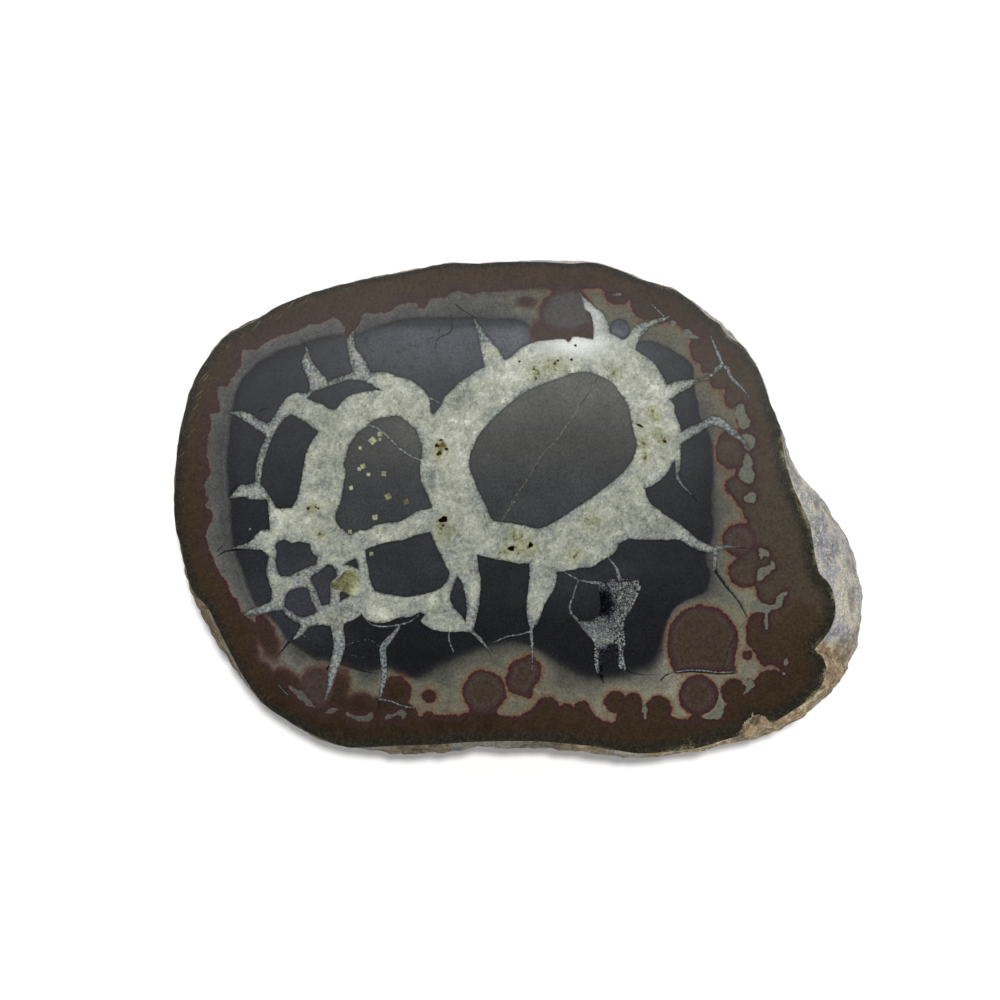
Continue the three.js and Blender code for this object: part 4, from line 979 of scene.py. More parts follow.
def buildStone():
    spots, faces = fillLoop(faceLoop, facePoints())
    print("polished face:", len(spots), "points,", len(faces), "faces")
    pocket, sunk, chipped = faceDepth(spots)
    faceZ = polish - pocket - sunk - chipped
    edge = nearestTo(spots, faceLoop)[0]
    rind, roughness, downs = rindRings(faceZ[edge])

    # the face, rows of faces between the rings, and a fan round the middle of the rest spot
    count = len(faceLoop)
    rings = np.vstack([edge, len(spots) + np.arange(len(rind)).reshape(-1, count)])
    ahead = np.roll(rings, -1, 1)
    centre = len(spots) + len(rind)
    polygons = faces.tolist()
    polygons += np.stack([rings[:-1], rings[1:], ahead[1:], ahead[:-1]], -1).reshape(-1, 4).tolist()
    polygons += [(a, centre, b) for a, b in zip(rings[-1].tolist(), ahead[-1].tolist())]
    places = np.concatenate([np.column_stack([spots, faceZ]), rind, [[*stone["restSpot"], 0]]])
    places[:, :2] += shift
    places = np.clip(places, np.array(cadBox[0]) / mm, np.array(cadBox[1]) / mm)
    mesh = bpy.data.meshes.new("nodule")
    mesh.from_pydata((places * mm).tolist(), [], polygons)
    mesh.validate()

    onRind = np.zeros(len(rind) + 1)
    for name, values in {**faceFields(spots), "sunk": sunk}.items():
        setAttribute(mesh, name, np.concatenate([values, onRind]))
    # deeper chips count as hollows of the crust, so the rind's finish paints shade into them
    setAttribute(mesh, "crust", np.concatenate([-0.9 * np.minimum(chipped, 0.6), roughness, [0]]))
    x, y = places[:, :2].T
    # painted light and shade on the rind: lighter to the right, darker along the lower side
    paintedSideLight = smoothStep(-55, 45, x) - 0.55 * smoothStep(-20, -44, y) * smoothStep(50, 20, x)
    setAttribute(mesh, "paintedSideLight", paintedSideLight)
    setAttribute(mesh, "rusty", (0.26 * smoothStep(-12, -32, y) - 0.3) * smoothStep(-55, 40, x))
    column = np.zeros(len(places))
    column[rings] = np.arange(count)
    way = np.concatenate([np.zeros(len(spots)), downs, [1]])
    unwrapStone(mesh, places, column, way, len(faces), count)

    # broken and natural surfaces take the rind's finish
    finish = np.ones(len(mesh.polygons), np.int32)
    finish[:len(faces)] = chipped[faces[:, 0]] > stone["brokenDepth"]
    mesh.polygons.foreach_set("material_index", finish)
    mesh.polygons.foreach_set("use_smooth", np.ones(len(mesh.polygons), bool))
    mesh.set_sharp_from_angle(angle=math.radians(stone["sharpAngle"]))
    sharpenRing(mesh, edge)
    triangleCount = len(mesh.loops) - 2 * len(mesh.polygons)
    print("stone:", len(places), "points,", triangleCount, "triangles")
    return placeObject("nodule", mesh)


nodule = buildStone()


# The looks are drawn in mm. A noise takes its place, scale, detail and roughness. A map range takes a
# value, the two ends that it comes between, and the two that it gives for them, 0 and 1 unless told.

# A thin bent thread wherever a value passes its middle
def threadMask(add, value, middle, far, close=0, most=1):
    off = add("Math", value, middle, operation="SUBTRACT")
    off = add("Math", off, operation="ABSOLUTE")
    return add("MapRange", off, far, close, 0, most)


# How much of a drawn line or patch shows: its distance field, roughened and cut off crisply
def crispMask(add, distance, ragged, wander, width=0.12, most=1.0):
    edge = add("Math", ragged, wander, distance, operation="MULTIPLY_ADD")
    low = 0.5 * wander - 0.5 * width
    return add("MapRange", edge, low, low + width, 0, most)


# Calcite, cut and polished: sugary cream grains, clearer and greyer in patches, with olive stain
def calciteLook(add, place, field):
    cells = add("TexVoronoi", place, 1 / stone["calciteGrain"], out="Color")
    grain = add("TexNoise", place, 2.1, 3, 0.8)
    mottle = add("TexNoise", place, 0.3, 5, 0.72, named={"Distortion": 0.7})
    tone = field["bright"]
    for part, share in ((mottle, 1.1), (grain, 0.45), (cells, 0.2)):
        tone = add("Math", part, share, tone, operation="MULTIPLY_ADD")
    tone = add("Math", tone, 0.31, operation="SUBTRACT")
    cream = add("ValToRGB", tone, stops=[
        (0.28, "4b5150"), (0.44, "7a8078"), (0.6, "999c8e"), (0.76, "b4b6a6"), (0.95, "dcddd4")])
    # white streaks that branch through it
    streak = add("TexNoise", place, 0.5, 4, named={"Distortion": 1.2})
    streak = threadMask(add, streak, 0.5, 0.022, 0, 0.4)
    # greyer and clearer in patches towards the walls
    clear = add("TexNoise", place, 0.24, 4)
    patch = add("MapRange", clear, 0.48, 0.6, 0, 0.75)
    wall = add("MapRange", field["calcite"], 3, 0.2)
    clear = add("Math", wall, patch, operation="MULTIPLY")
    clear = add("Math", field["thin"], 0.5, clear, operation="MULTIPLY_ADD", use_clamp=True)
    greyish = add("ValToRGB", grain, stops=[
        (0.3, "404547"), (0.46, "7d8586"), (0.58, "9ea4a1"), (0.72, "ced1ca")])
    # yellow-green stain round the pits, with small holes and dark grains in it
    blotch = add("TexNoise", place, 1.1, 4, 0.7)
    stained = add("Math", field["stain"], 0.34, blotch, operation="MULTIPLY_ADD")
    stain = add("MapRange", stained, 0.6, 0.86, 0, 0.6)
    speck = add("MapRange", stained, 0.84, 0.9, 0, 0.8)
    hole = add("TexVoronoi", place, 0.8)
    hole = add("Math", mottle, -0.55, hole, operation="MULTIPLY_ADD")
    hole = add("MapRange", hole, -0.14, -0.24, 0, 0.75)
    # grey and black grains along the walls and in the spikes
    near = add("MapRange", field["calcite"], 1.1, 0.1)
    near = add("Math", field["thin"], 0.55, near, operation="MULTIPLY_ADD")
    gritty = add("TexNoise", place, 1.5, 4, 0.75)
    gritty = add("Math", near, 0.13, gritty, operation="MULTIPLY_ADD")
    gritty = add("MapRange", gritty, 0.6, 0.74, 0, 0.75)
    # chalky white near the top of the ring, with a painted highlight laid over it
    chalkyAndHighlight = add("MapRange", grain, 0.25, 0.55, 0.6, 1)
    chalkyAndHighlight = add("Math", chalkyAndHighlight, field["chalkAndHighlight"], operation="MULTIPLY")
    colour = cream
    for mask, tint in ((streak, "cfd1c6"), (clear, greyish), (stain, "8a8c50"), (hole, "4a4a34"),
                       (speck, "2e3018"), (gritty, "34383a"), (chalkyAndHighlight, "eef1ee")):
        colour = add("Mix", mask, colour, tint, data_type="RGBA")
    skin = add("MapRange", field["calcite"], 0, 0.4, 0.68, 1)
    return add("VectorMath", colour, skin, operation="SCALE"), grain


# Marl, cut and polished: a very fine dark mud rock, with a halo that pales towards the siderite
def marlLook(add, place, field):
    dust = add("TexNoise", place, 1.9, 3, 0.85)
    cloud = add("TexNoise", place, 0.2, 5, 0.62)
    cloudy = add("MapRange", cloud, 0.3, 0.7, 0.82, 1.18)
    light = add("Math", cloudy, field["tone"], operation="MULTIPLY")
    hue = add("Mix", field["olive"], "e9edff", "fefff2", data_type="RGBA")
    dark = add("VectorMath", hue, light, operation="SCALE")
    # the halo, with a thin pale line beside the core on the left
    mist = add("TexNoise", place, 0.34, 5, 0.6, named={"Distortion": 0.8})
    mist = add("MapRange", mist, 0.32, 0.68, 0.8, 1.22)
    light = add("Math", field["halo"], mist, operation="MULTIPLY")
    wander = add("Math", cloud, 1.6, field["core"], operation="MULTIPLY_ADD")
    line = threadMask(add, wander, 0.1, 0.3, 0, 0.022)
    left = add("MapRange", field["x"], -10, -40)
    light = add("Math", line, left, light, operation="MULTIPLY_ADD")
    hue = add("Mix", field["warm"], "fafcff", "fffad4", data_type="RGBA")
    pale = add("VectorMath", hue, light, operation="SCALE")
    low = add("Math", field["blur"], -0.9, 0.8, operation="MULTIPLY_ADD")
    high = add("Math", field["blur"], 0.9, 0.8, operation="MULTIPLY_ADD")
    core = add("MapRange", wander, low, high, interpolation_type="SMOOTHSTEP")
    # small windows in the rim keep a greenish grey
    across = add("MapRange", field["x"], -10, 35)
    greenish = add("Mix", across, "50524a", "64675c", data_type="RGBA")
    window = add("MapRange", field["window"], -0.3, 0.1, 0, 0.9)
    # a reddish glow right beside the siderite, weak at the left and the top
    glow = add("MapRange", field["siderite"], -1.6, 0.1)
    glow = add("Math", glow, 2.6, operation="POWER")
    glow = add("Math", glow, field["fringe"], operation="MULTIPLY")
    glow = add("Math", glow, window, operation="SUBTRACT", use_clamp=True)
    colour = pale
    for mask, tint in ((core, dark), (window, greenish), (glow, "66402e")):
        colour = add("Mix", mask, colour, tint, data_type="RGBA")
    # fine grain, a dark skin along the veins, and small dark freckles in the upper part
    grain = add("MapRange", dust, 0.25, 0.75, 0.52, 1.5)
    skin = add("MapRange", field["calcite"], -0.5, -0.1, 1, 0.62)
    freckle = add("TexNoise", place, 0.8, 2.5, named={"Distortion": 0.5})
    freckle = add("MapRange", freckle, 0.4, 0.3, 0, 0.32)
    upper = add("MapRange", field["y"], 14, 32)
    freckle = add("Math", freckle, upper, operation="MULTIPLY")
    freckle = add("Math", 1, freckle, operation="SUBTRACT")
    skin = add("Math", skin, grain, operation="MULTIPLY")
    skin = add("Math", skin, freckle, operation="MULTIPLY")
    colour = add("VectorMath", colour, skin, operation="SCALE")
    # dust of pale grains, thinly scattered
    fleck = add("TexVoronoi", place, 1.1)
    fleck = add("MapRange", fleck, 0.13, 0.04, 0, 0.2)
    return add("Mix", fleck, colour, "66665a", data_type="RGBA")


# Siderite, cut and polished: fine brown ironstone, its blobs ringed and purplish at the skin
def sideriteLook(add, place, field):
    dust = add("TexNoise", place, 1.8, 3, 0.85)
    wave = add("TexNoise", place, 0.26, 5, 0.65)
    tone = add("Math", wave, 0.9, field["rimTone"], operation="MULTIPLY_ADD")
    brown = add("ValToRGB", tone, stops=[
        (0.05, "281f16"), (0.25, "32271c"), (0.55, "3a2d20"), (0.9, "43362a"), (1.0, "473e33")])
    # purplish over the inner millimetres
    inner = add("Math", wave, 3.4, field["siderite"], operation="MULTIPLY_ADD")
    inner = add("Math", field["fringe"], 1.1, inner, operation="MULTIPLY_ADD")
    inner = add("MapRange", inner, 4.8, 2.4, 0, 0.85, interpolation_type="SMOOTHSTEP")
    # blobs: brown inside, greyer to the top and left of the face, with faint uneven rings
    high = add("MapRange", field["y"], -30, 30, interpolation_type="SMOOTHSTEP")
    body = add("ValToRGB", high, stops=[(0.0, "42362c"), (0.3, "483b33"), (0.6, "493f3e"), (1.0, "4b4646")])
    deep = add("Math", wave, 2.2, field["blob"], operation="MULTIPLY_ADD")
    rings = add("Math", deep, 5.2, operation="MULTIPLY")
    rings = add("Math", rings, operation="SINE")
    rings = add("MapRange", rings, -1, 1, 0.96, 1.03)
    body = add("VectorMath", body, rings, operation="SCALE")
    lilac = add("MapRange", deep, 3.2, 2.6, 0, 0.22)
    shell = add("MapRange", deep, 2.7, 1.6, 0, 0.9, interpolation_type="SMOOTHSTEP")
    west = add("MapRange", field["x"], -22, -42, 0, 0.75)
    for mask, tint in ((lilac, "524a49"), (shell, "402e2f"), (west, "433837")):
        body = add("Mix", mask, body, tint, data_type="RGBA")
    inBlob = add("MapRange", field["blob"], -0.3, 0.3, interpolation_type="SMOOTHSTEP")
    # a thin dark purple skin where siderite meets marl
    skin = add("MapRange", field["siderite"], 0.8, 0.1, 0, 0.8)
    skin = add("Math", skin, field["fringe"], operation="MULTIPLY")
    colour = brown
    for mask, tint in ((inner, "3c2c2a"), (inBlob, body), (skin, "3a2323")):
        colour = add("Mix", mask, colour, tint, data_type="RGBA")
    grain = add("MapRange", dust, 0.25, 0.75, 0.5, 1.55)
    colour = add("VectorMath", colour, grain, operation="SCALE")
    # weathered dark towards the outside, over a ragged line
    rough = add("TexNoise", place, 0.55, 6, 0.75)
    outer = add("Math", rough, -1.7, field["edge"], operation="MULTIPLY_ADD")
    outer = add("MapRange", outer, 0.6, -0.4, 0, 0.88, interpolation_type="SMOOTHSTEP")
    weathered = add("ValToRGB", dust, stops=[
        (0.3, "1c1b18"), (0.5, "282721"), (0.62, "37352d"), (0.75, "524f45")])
    # broken golden grains along the very edge, most of them on the right
    broad = add("TexNoise", place, 0.22, 2)
    fibre = add("TexNoise", place, 2.2, 4, 0.8, named={"Distortion": 2.0})
    gold = add("Math", fibre, -3.4, field["edge"], operation="MULTIPLY_ADD")
    gold = add("Math", broad, -2.4, gold, operation="MULTIPLY_ADD")
    gold = add("MapRange", gold, -2.95, -3.3, 0, 0.85)
    east = add("MapRange", field["x"], 15, 50, 0.08, 1)
    gold = add("Math", gold, east, operation="MULTIPLY")
    # fine scratches at the upper left
    along = add("Mapping", place, named={"Rotation": (0, 0, -0.75), "Scale": (0.3, 3.5, 1)},
                vector_type="TEXTURE")
    scratch = add("TexNoise", along, 1, 2)
    corner = add("Math", field["y"], 0.8, 30, operation="MULTIPLY_ADD")
    corner = add("Math", corner, field["x"], operation="SUBTRACT")
    corner = add("MapRange", corner, 90, 106, 0, 0.15)
    margin = add("MapRange", field["edge"], 4, 1)
    corner = add("Math", corner, margin, operation="MULTIPLY")
    scratch = add("Math", scratch, corner, operation="ADD")
    scratch = add("MapRange", scratch, 0.77, 0.83, 0, 0.6)
    for mask, tint in ((outer, weathered), (gold, "aaa07a"), (scratch, "7d7a62")):
        colour = add("Mix", mask, colour, tint, data_type="RGBA")
    return colour


# Pyrite, cut and polished: brassy grains, some fresh and pale, some rusted
def pyriteLook(add, place):
    grains = add("TexNoise", place, 1.8, 3, 0.7)
    fresh = add("TexNoise", place, 0.23, 1)
    tone = add("Math", fresh, 1.1, grains, operation="MULTIPLY_ADD")
    tone = add("Math", tone, 0.5, operation="MULTIPLY")
    return add("ValToRGB", tone, stops=[
        (0.4, "4d4428"), (0.48, "75744a"), (0.56, "8d9168"), (0.66, "b6ba98")])


# Cut stone: the polish gives the eye its shine, the minerals their colours, the calcite a duller grain
def makePolishedStone():
    material, add = startMaterial("polishedSeptarianStone")
    place = placeInMm(add)
    sides = add("SeparateXYZ", place).node.outputs
    field = {"x": sides["X"], "y": sides["Y"]}
    for name in ("calcite", "core", "siderite", "blob", "edge", "pyrite", "stain", "paleLine", "darkLine",
                 "seam", "window", "tone", "olive", "halo", "warm", "fringe", "rimTone", "bright", "chalkAndHighlight",
                 "sunk", "thin", "soft", "blur"):
        field[name] = add("Attribute", attribute_name=name, out="Fac")
    wobble = add("TexNoise", place, 0.75, 3, 0.6)
    field["siderite"] = add("Math", wobble, 1.3, field["siderite"], operation="MULTIPLY_ADD")
    marl = marlLook(add, place, field)
    siderite = sideriteLook(add, place, field)
    calcite, grain = calciteLook(add, place, field)
    pyrite = pyriteLook(add, place)

    # edges wander a little, as grain edges do
    ragged = add("TexNoise", place, 1.6, 4, 0.7)
    edge = add("Math", ragged, 0.6, field["siderite"], operation="MULTIPLY_ADD")
    low = add("Math", field["soft"], -1, 0.2, operation="MULTIPLY_ADD")
    high = add("Math", field["soft"], 0.7, 0.42, operation="MULTIPLY_ADD")
    rim = add("MapRange", edge, low, high, interpolation_type="SMOOTHSTEP")
    seamed = crispMask(add, field["seam"], ragged, 1.1, 0.1, 0.5)
    cracked = crispMask(add, field["darkLine"], ragged, 0.3, 0.12, 0.9)
    # thin veins are gritty, between dark walls
    wall = add("MapRange", field["paleLine"], -0.22, -0.04, 0, 0.6)
    thinVein = crispMask(add, field["paleLine"], ragged, 0.5, 0.12, 0.9)
    gritty = add("ValToRGB", grain, stops=[
        (0.34, "24272b"), (0.46, "5a6064"), (0.6, "8f9594"), (0.75, "b9bcb4")])
    vein = crispMask(add, field["calcite"], ragged, 0.6)
    brassy = crispMask(add, field["pyrite"], ragged, 0.35, 0.1, 0.92)
    # pits: olive stain at the lip, then painted shade that goes to near black with depth
    pit = add("MapRange", field["sunk"], 0.02, 0.2)
    pitStainAndShade = add("MapRange", field["sunk"], 0.02, 1)
    pitStainAndShade = add("ValToRGB", pitStainAndShade, stops=[
        (0.0, "7a6f47"), (0.3, "59451f"), (0.7, "2a2014"), (1.0, "0d0b09")])
    colour = marl
    for mask, tint in ((rim, siderite), (seamed, "74725f"), (cracked, "0f0f11"), (wall, "151619"),
                       (thinVein, gritty), (vein, calcite), (brassy, pyrite), (pit, pitStainAndShade)):
        colour = add("Mix", mask, colour, tint, data_type="RGBA")

    rough = add("Mix", vein, stone["polishRoughness"], stone["calciteRoughness"])
    rough = add("Mix", pit, rough, 0.85)
    height = add("Math", grain, vein, operation="MULTIPLY")
    bump = add("Bump", named={"Height": height, "Strength": 0.25, "Distance": 0.06 * mm})
    shader = add("BsdfPrincipled", named={
        "Base Color": colour, "Roughness": rough, "Normal": bump, "IOR": 1.5})
    add("OutputMaterial", shader)
    return material


# Weathered rind: bluish grey clay ironstone, patchy with cream lime crust and rust, with painted light and
# shade by side and in its hollows
def makeWeatheredRind():
    material, add = startMaterial("weatheredRind")
    place = placeInMm(add)
    crust = add("Attribute", attribute_name="crust", out="Fac")
    broad = add("TexNoise", place, 0.06, 4, 0.6)
    mid = add("TexNoise", place, 0.5, 6, 0.72, named={"Distortion": 0.6})
    fine = add("TexNoise", place, 2.6, 4, 0.75)
    # bluish and buff plates, bent and drawn out
    bend = add("TexNoise", place, 0.3, 3, out="Color")
    bend = add("VectorMath", bend, 7, operation="SCALE")
    drawnOut = add("VectorMath", place, (1.0, 0.42, 0.7), operation="MULTIPLY")
    bent = add("VectorMath", drawnOut, bend, operation="ADD")
    plate = add("TexNoise", bent, 0.3, 5, 0.58)
    plates = add("ValToRGB", plate, stops=[
        (0.3, "7f8088"), (0.42, "a6a7ae"), (0.5, "bdbdbf"), (0.56, "cfcabd"), (0.64, "e6dec8"),
        (0.75, "c6bca8")])
    # a net of cream lime
    net = add("TexNoise", bent, 0.42, 4, 0.6, named={"Distortion": 0.8})
    net = threadMask(add, net, 0.5, 0.03, 0.004)
    net = add("Math", net, fine, operation="MULTIPLY")
    net = add("MapRange", net, 0.15, 0.42, 0, 0.9)
    # rust in broad patches, most of it low on the right and underneath
    side = add("Attribute", attribute_name="paintedSideLight", out="Fac")
    rust = add("Attribute", attribute_name="rusty", out="Fac")
    rust = add("Math", rust, broad, operation="ADD")
    rust = add("MapRange", rust, 0.36, 0.5, 0, 0.85, interpolation_type="SMOOTHSTEP")
    rustTone = add("ValToRGB", mid, stops=[
        (0.32, "3f3220"), (0.44, "877049"), (0.54, "bfa578"), (0.64, "e3d6b6")])
    # painted shade in the crust's hollows and painted light on its knobs
    paintedHollowShade = add("MapRange", crust, -0.15, -0.8, 0, 0.65)
    paintedKnobLight = add("MapRange", crust, 0.3, 0.9, 0, 0.5)
    colour = plates
    for mask, tint in ((net, "efe6cb"), (rust, rustTone), (paintedHollowShade, "4b4236"), (paintedKnobLight, "e9e2cf")):
        colour = add("Mix", mask, colour, tint, data_type="RGBA")
    grain = add("MapRange", fine, 0.28, 0.7, 0.55, 1.6)
    # painted light and shade by side: lighter on the right, darker along the lower side
    shade = add("MapRange", side, 0, 0.75, 0.5, 1.15)
    grain = add("Math", grain, shade, operation="MULTIPLY")
    colour = add("VectorMath", colour, grain, operation="SCALE")
    bump = add("Bump", named={"Height": fine, "Strength": 1.0, "Distance": 0.8 * mm})
    shader = add("BsdfPrincipled", named={"Base Color": colour, "Roughness": 0.85, "Normal": bump})
    add("OutputMaterial", shader)
    return material


nodule.data.materials.append(makePolishedStone())
nodule.data.materials.append(makeWeatheredRind())
print("stone finished")


# the crust of crystals in the pocket, in mm
druse = {
    "gap": 0.04,             # between the crust's bed and the stone round it
    "bedStep": 0.35,         # spacing of the bed's points
    "bottom": 38.1,
    "deepPoint": (15.6, -18.6),
    "reach": 8.0,            # from the deep point to where the crust stands highest
    "heights": (38.9, 40.7),
    "spacing": 0.29,         # between crystals
    "length": 0.75,          # of a crystal
    "width": 0.38,
    "sizes": (0.6, 1.4),     # smallest and largest share of that length and width
    "lean": 0.55,            # radians
    "tallest": 41.6,         # the tips end here
    "perSquareMetre": 1.2e7,     # most crystals, before the spacing thins them out
    "shades": (0, 0.34),     # of the single crystals
    "seed": 7,
    "sizeSeed": 3,
    "shadeSeed": 11,
}


# Calcite in small sharp crystals: glassy, near black where shade is painted in the hollows, to pale grey
def makeCalciteCrystals():
    material, add = startMaterial("calciteCrystals")
    shade = add("Attribute", attribute_name="shade", out="Fac")
    grain = add("TexNoise", placeInMm(add), 1.8, 3)
    tone = add("Math", grain, 0.5, shade, operation="MULTIPLY_ADD")
    colour = add("ValToRGB", tone, stops=[
        (0.18, "101116"), (0.4, "3b3f47"), (0.62, "6c727a"), (0.82, "90958f"), (1.0, "acb3ac")])
    shader = add("BsdfPrincipled", named={"Base Color": colour, "Roughness": 0.25, "IOR": 1.55})
    add("OutputMaterial", shader)
    return material


# A dog-tooth crystal, one unit wide and one unit high: six faces that meet in a point
def crystalMesh():
    ring = [(0.5 * math.cos(a), 0.5 * math.sin(a)) for a in np.arange(6) * math.pi / 3]
    verts = [(x * 0.85, y * 0.85, -0.2) for x, y in ring] + [(x, y, 0.3) for x, y in ring]
    verts.append((0.06, 0.03, 1))
    faces = [(i, (i + 1) % 6, 6 + (i + 1) % 6, 6 + i) for i in range(6)]
    faces += [(6 + i, 6 + (i + 1) % 6, 12) for i in range(6)]
    faces.append(tuple(range(5, -1, -1)))
    mesh = bpy.data.meshes.new("crystal")
    mesh.from_pydata(verts, [], faces)
    return mesh


# Grows crystals over a bed: spread, turned and sized at random from one seed
def growCrystals(bed, crystal, material):
    tree = bpy.data.node_groups.new("crystalCrust", "GeometryNodeTree")
    add = functools.partial(addNode, tree)
    values = {"Spacing": druse["spacing"] * mm, "Length": druse["length"] * mm,
              "Width": druse["width"] * mm, "Lean": druse["lean"], "Seed": druse["seed"]}
    tree.interface.new_socket("Geometry", in_out="INPUT", socket_type="NodeSocketGeometry")
    for name in values:
        kind = "NodeSocketInt" if name == "Seed" else "NodeSocketFloat"
        tree.interface.new_socket(name, in_out="INPUT", socket_type=kind)
    tree.interface.new_socket("Geometry", in_out="OUTPUT", socket_type="NodeSocketGeometry")
    given = add("NodeGroupInput").node.outputs
    points = add("GeometryNodeDistributePointsOnFaces", distribute_method="POISSON", named={
        "Mesh": given["Geometry"], "Distance Min": given["Spacing"], "Density Max": druse["perSquareMetre"],
        "Seed": given["Seed"]})
    # a small lean to any side, and any turn about the crystal's own line
    lean = add("VectorMath", (1, 1, 0), given["Lean"], operation="SCALE")
    leanBack = add("VectorMath", lean, -1, operation="SCALE")
    least = add("VectorMath", leanBack, (0, 0, -3.1), operation="ADD")
    most = add("VectorMath", lean, (0, 0, 3.1), operation="ADD")
    turn = add("FunctionNodeRandomValue", least, most, named={"Seed": given["Seed"]},
               data_type="FLOAT_VECTOR")
    size = add("FunctionNodeRandomValue", *druse["sizes"], named={"Seed": druse["sizeSeed"]},
               data_type="FLOAT")
    scale = add("CombineXYZ", given["Width"], given["Width"], given["Length"])
    scale = add("VectorMath", scale, size, operation="SCALE")
    shape = add("GeometryNodeObjectInfo", named={"Object": crystal}, out="Geometry")
    placed = add("GeometryNodeInstanceOnPoints", named={
        "Points": points, "Instance": shape, "Rotation": turn, "Scale": scale})
    shade = add("FunctionNodeRandomValue", *druse["shades"], named={"Seed": druse["shadeSeed"]},
                data_type="FLOAT")
    shaded = add("GeometryNodeStoreNamedAttribute", data_type="FLOAT", domain="INSTANCE", named={
        "Geometry": placed, "Name": "shade", "Value": shade})
    real = add("GeometryNodeRealizeInstances", shaded)
    finished = add("GeometryNodeSetMaterial", named={"Geometry": real, "Material": material})
    add("NodeGroupOutput", finished)
    grower = bed.modifiers.new("crystals", "NODES")
    grower.node_group = tree
    for item in tree.interface.items_tree:
        if item.in_out == "INPUT" and item.name in values:
            grower[item.identifier] = values[item.name]
    ready = bed.evaluated_get(bpy.context.evaluated_depsgraph_get())
    grown = bpy.data.meshes.new_from_object(ready)
    bed.modifiers.remove(grower)
    return grown


# How light the crystals are: their own random tone, with painted shade that darkens them by the deep left
# wall, round the void and along the legs' inner walls, so they are paler to the right
def crystalShade(shade, x, y):
    fromDeep = np.hypot(x - druse["deepPoint"][0], y - druse["deepPoint"][1])
    leg = np.where(x < 17.4, smoothStep(15.5, 16.0, x) * smoothStep(-27.4, -28.2, y),
                   smoothStep(19.9, 19.5, x) * smoothStep(-26.4, -27.2, y))
    hole = np.hypot(x - 17.0, (y + 18.7) / 1.7)
    return (shade * 0.8 + 0.09 + 0.36 * smoothStep(1.8, 4.6, fromDeep) + 0.1 * smoothStep(-23, -26, y)
            - 0.8 * leg - 0.34 * smoothStep(2.4, 0.8, hole))


def buildDruse():
    # the bed: a bowl that follows the pocket, closed by a flat bottom and side walls
    loop = rowsBeside(pocketLoop[::-1], (druse["gap"],))
    points = gridOver(loop.min(0), loop.max(0), druse["bedStep"])
    spots, faces = fillLoop(loop, points[insideBy(points, loop, 1.0) > 0.15])
    x, y = spots.T
    fromDeep = np.hypot(x - druse["deepPoint"][0], y - druse["deepPoint"][1])
    low, high = druse["heights"]
    z = low + (high - low) * smoothStep(1, druse["reach"], fromDeep)
    # higher along the walls, except beside the deep point, and uneven all over
    z = z + 0.5 * np.exp(-insideBy(spots, loop, 3.0) / 0.5) * smoothStep(2, 5, fromDeep)
    z += [0.45 * noise.noise(Vector((*spot * 0.9, 3))) for spot in spots]
    count = len(spots)
    faces = faces.tolist()
    edges = [(a, b) for face in faces for a, b in zip(face, face[1:] + face[:1])]
    known = set(edges)
    border = [(a, b) for a, b in edges if (b, a) not in known]
    shell = faces + [[i + count for i in reversed(face)] for face in faces]
    shell += [(a, a + count, b + count, b) for a, b in border]
    verts = np.concatenate([np.column_stack([spots, z]), np.column_stack([spots, z * 0 + druse["bottom"]])])
    verts[:, :2] += shift

    top = bpy.data.meshes.new("bedTop")
    top.from_pydata((verts[:count] * mm).tolist(), [], faces)
    bed = placeObject("bedTop", top)
    crystal = placeObject("crystal", crystalMesh())
    facesPerCrystal = len(crystal.data.polygons)
    material = makeCalciteCrystals()
    grown = growCrystals(bed, crystal, material)
    bpy.data.objects.remove(bed)
    bpy.data.objects.remove(crystal)

    crystals = readAll(grown.vertices, "co", float, 3) / mm
    crystals[:, 2] = np.clip(crystals[:, 2], druse["bottom"] + 0.1, druse["tallest"])
    shade = readAll(grown.attributes["shade"].data, "value", float)
    shade = crystalShade(shade, *(crystals[:, :2] - shift).T)
    crystalFaces = [[i + 2 * count for i in face.vertices] for face in grown.polygons]
    # the bed gets painted shade near the deep point, and is paler where the crust is solid at the lower
    # left
    solid = smoothStep(-21, -24, y) * smoothStep(-27.8, -27, y) * smoothStep(18.6, 17, x)
    bedShade = 0.2 * smoothStep(2, 5, fromDeep) - 0.1 + 0.2 * solid
    mesh = bpy.data.meshes.new("crystalCrust")
    mesh.from_pydata((np.concatenate([verts, crystals]) * mm).tolist(), [], shell + crystalFaces)
    setAttribute(mesh, "shade", np.concatenate([bedShade, np.zeros(count), shade]))
    mesh.materials.append(material)
    print("crystal crust:", len(crystalFaces) // facesPerCrystal, "crystals")
    return placeObject("crystalCrust", mesh)


crystalCrust = buildDruse()


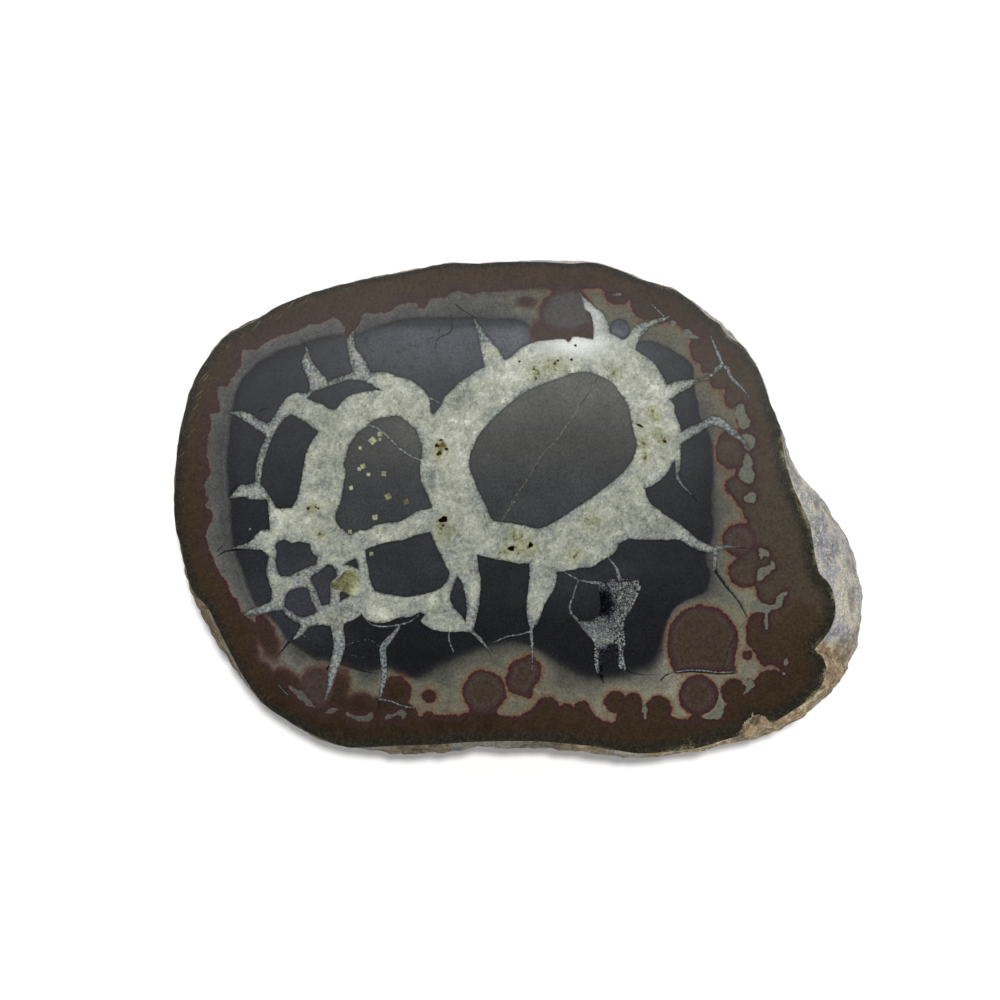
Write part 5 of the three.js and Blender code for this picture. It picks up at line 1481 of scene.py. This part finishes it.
# floor and light
studio = {
    "floorHalf": 3.0,        # metres
    "floor": "f4f4f4",
    "floorGlow": 0.17,
    "sky": 0.2,
    "sun": 2.4,
    "sunTilt": 4.3,          # degrees off straight down, towards the top of the face
    "sunSide": 1.4,
    "sunSize": 2.6,
    "boxLight": 0.07,
    "boxSize": (0.24, 0.05),
    "boxPlace": (0.012, 0.051, 1.042),
}

floorMesh = bpy.data.meshes.new("floor")
half = studio["floorHalf"]
corners = [(-half, -half, 0), (half, -half, 0), (half, half, 0), (-half, half, 0)]
floorMesh.from_pydata(corners, [], [(0, 1, 2, 3)])
floor = placeObject("floor", floorMesh)
paper, addPaper = startMaterial("whitePaper")       # dull white that glows a little, so it reads as bare
paperShader = addPaper("BsdfPrincipled", named={
    "Base Color": studio["floor"], "Roughness": 0.9, "Specular IOR Level": 0.0,
    "Emission Color": "ffffff", "Emission Strength": studio["floorGlow"]})
addPaper("OutputMaterial", paperShader)
floorMesh.materials.append(paper)

world = bpy.data.worlds.new("studio")
world.use_nodes = True
world.node_tree.nodes["Background"].inputs[0].default_value = (1, 1, 1, 1)
world.node_tree.nodes["Background"].inputs[1].default_value = studio["sky"]
world.cycles_visibility.glossy = False
bpy.context.scene.world = world

sunData = bpy.data.lights.new("sun", "SUN")
sunData.energy = studio["sun"]
sunData.angle = math.radians(studio["sunSize"])
sun = placeObject("sun", sunData)
sun.rotation_euler = (-math.radians(studio["sunTilt"]), math.radians(studio["sunSide"]), 0)
sun.visible_glossy = False

# a soft strip light near the lens: its blurred reflection greys the upper middle of the polish
boxData = bpy.data.lights.new("softBox", "AREA")
boxData.shape = "RECTANGLE"
boxData.size, boxData.size_y = studio["boxSize"]
boxData.energy = studio["boxLight"]
softBox = placeObject("softBox", boxData)
softBox.location = studio["boxPlace"]
softBox.visible_camera = False

bpy.context.scene.view_settings.view_transform = "Standard"
bpy.context.scene.view_settings.look = "None"


# the pieces stand for the solids
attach(nodule, "root")
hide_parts("septarian_nodule")
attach(crystalCrust, "root")
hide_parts("calcite_druse")
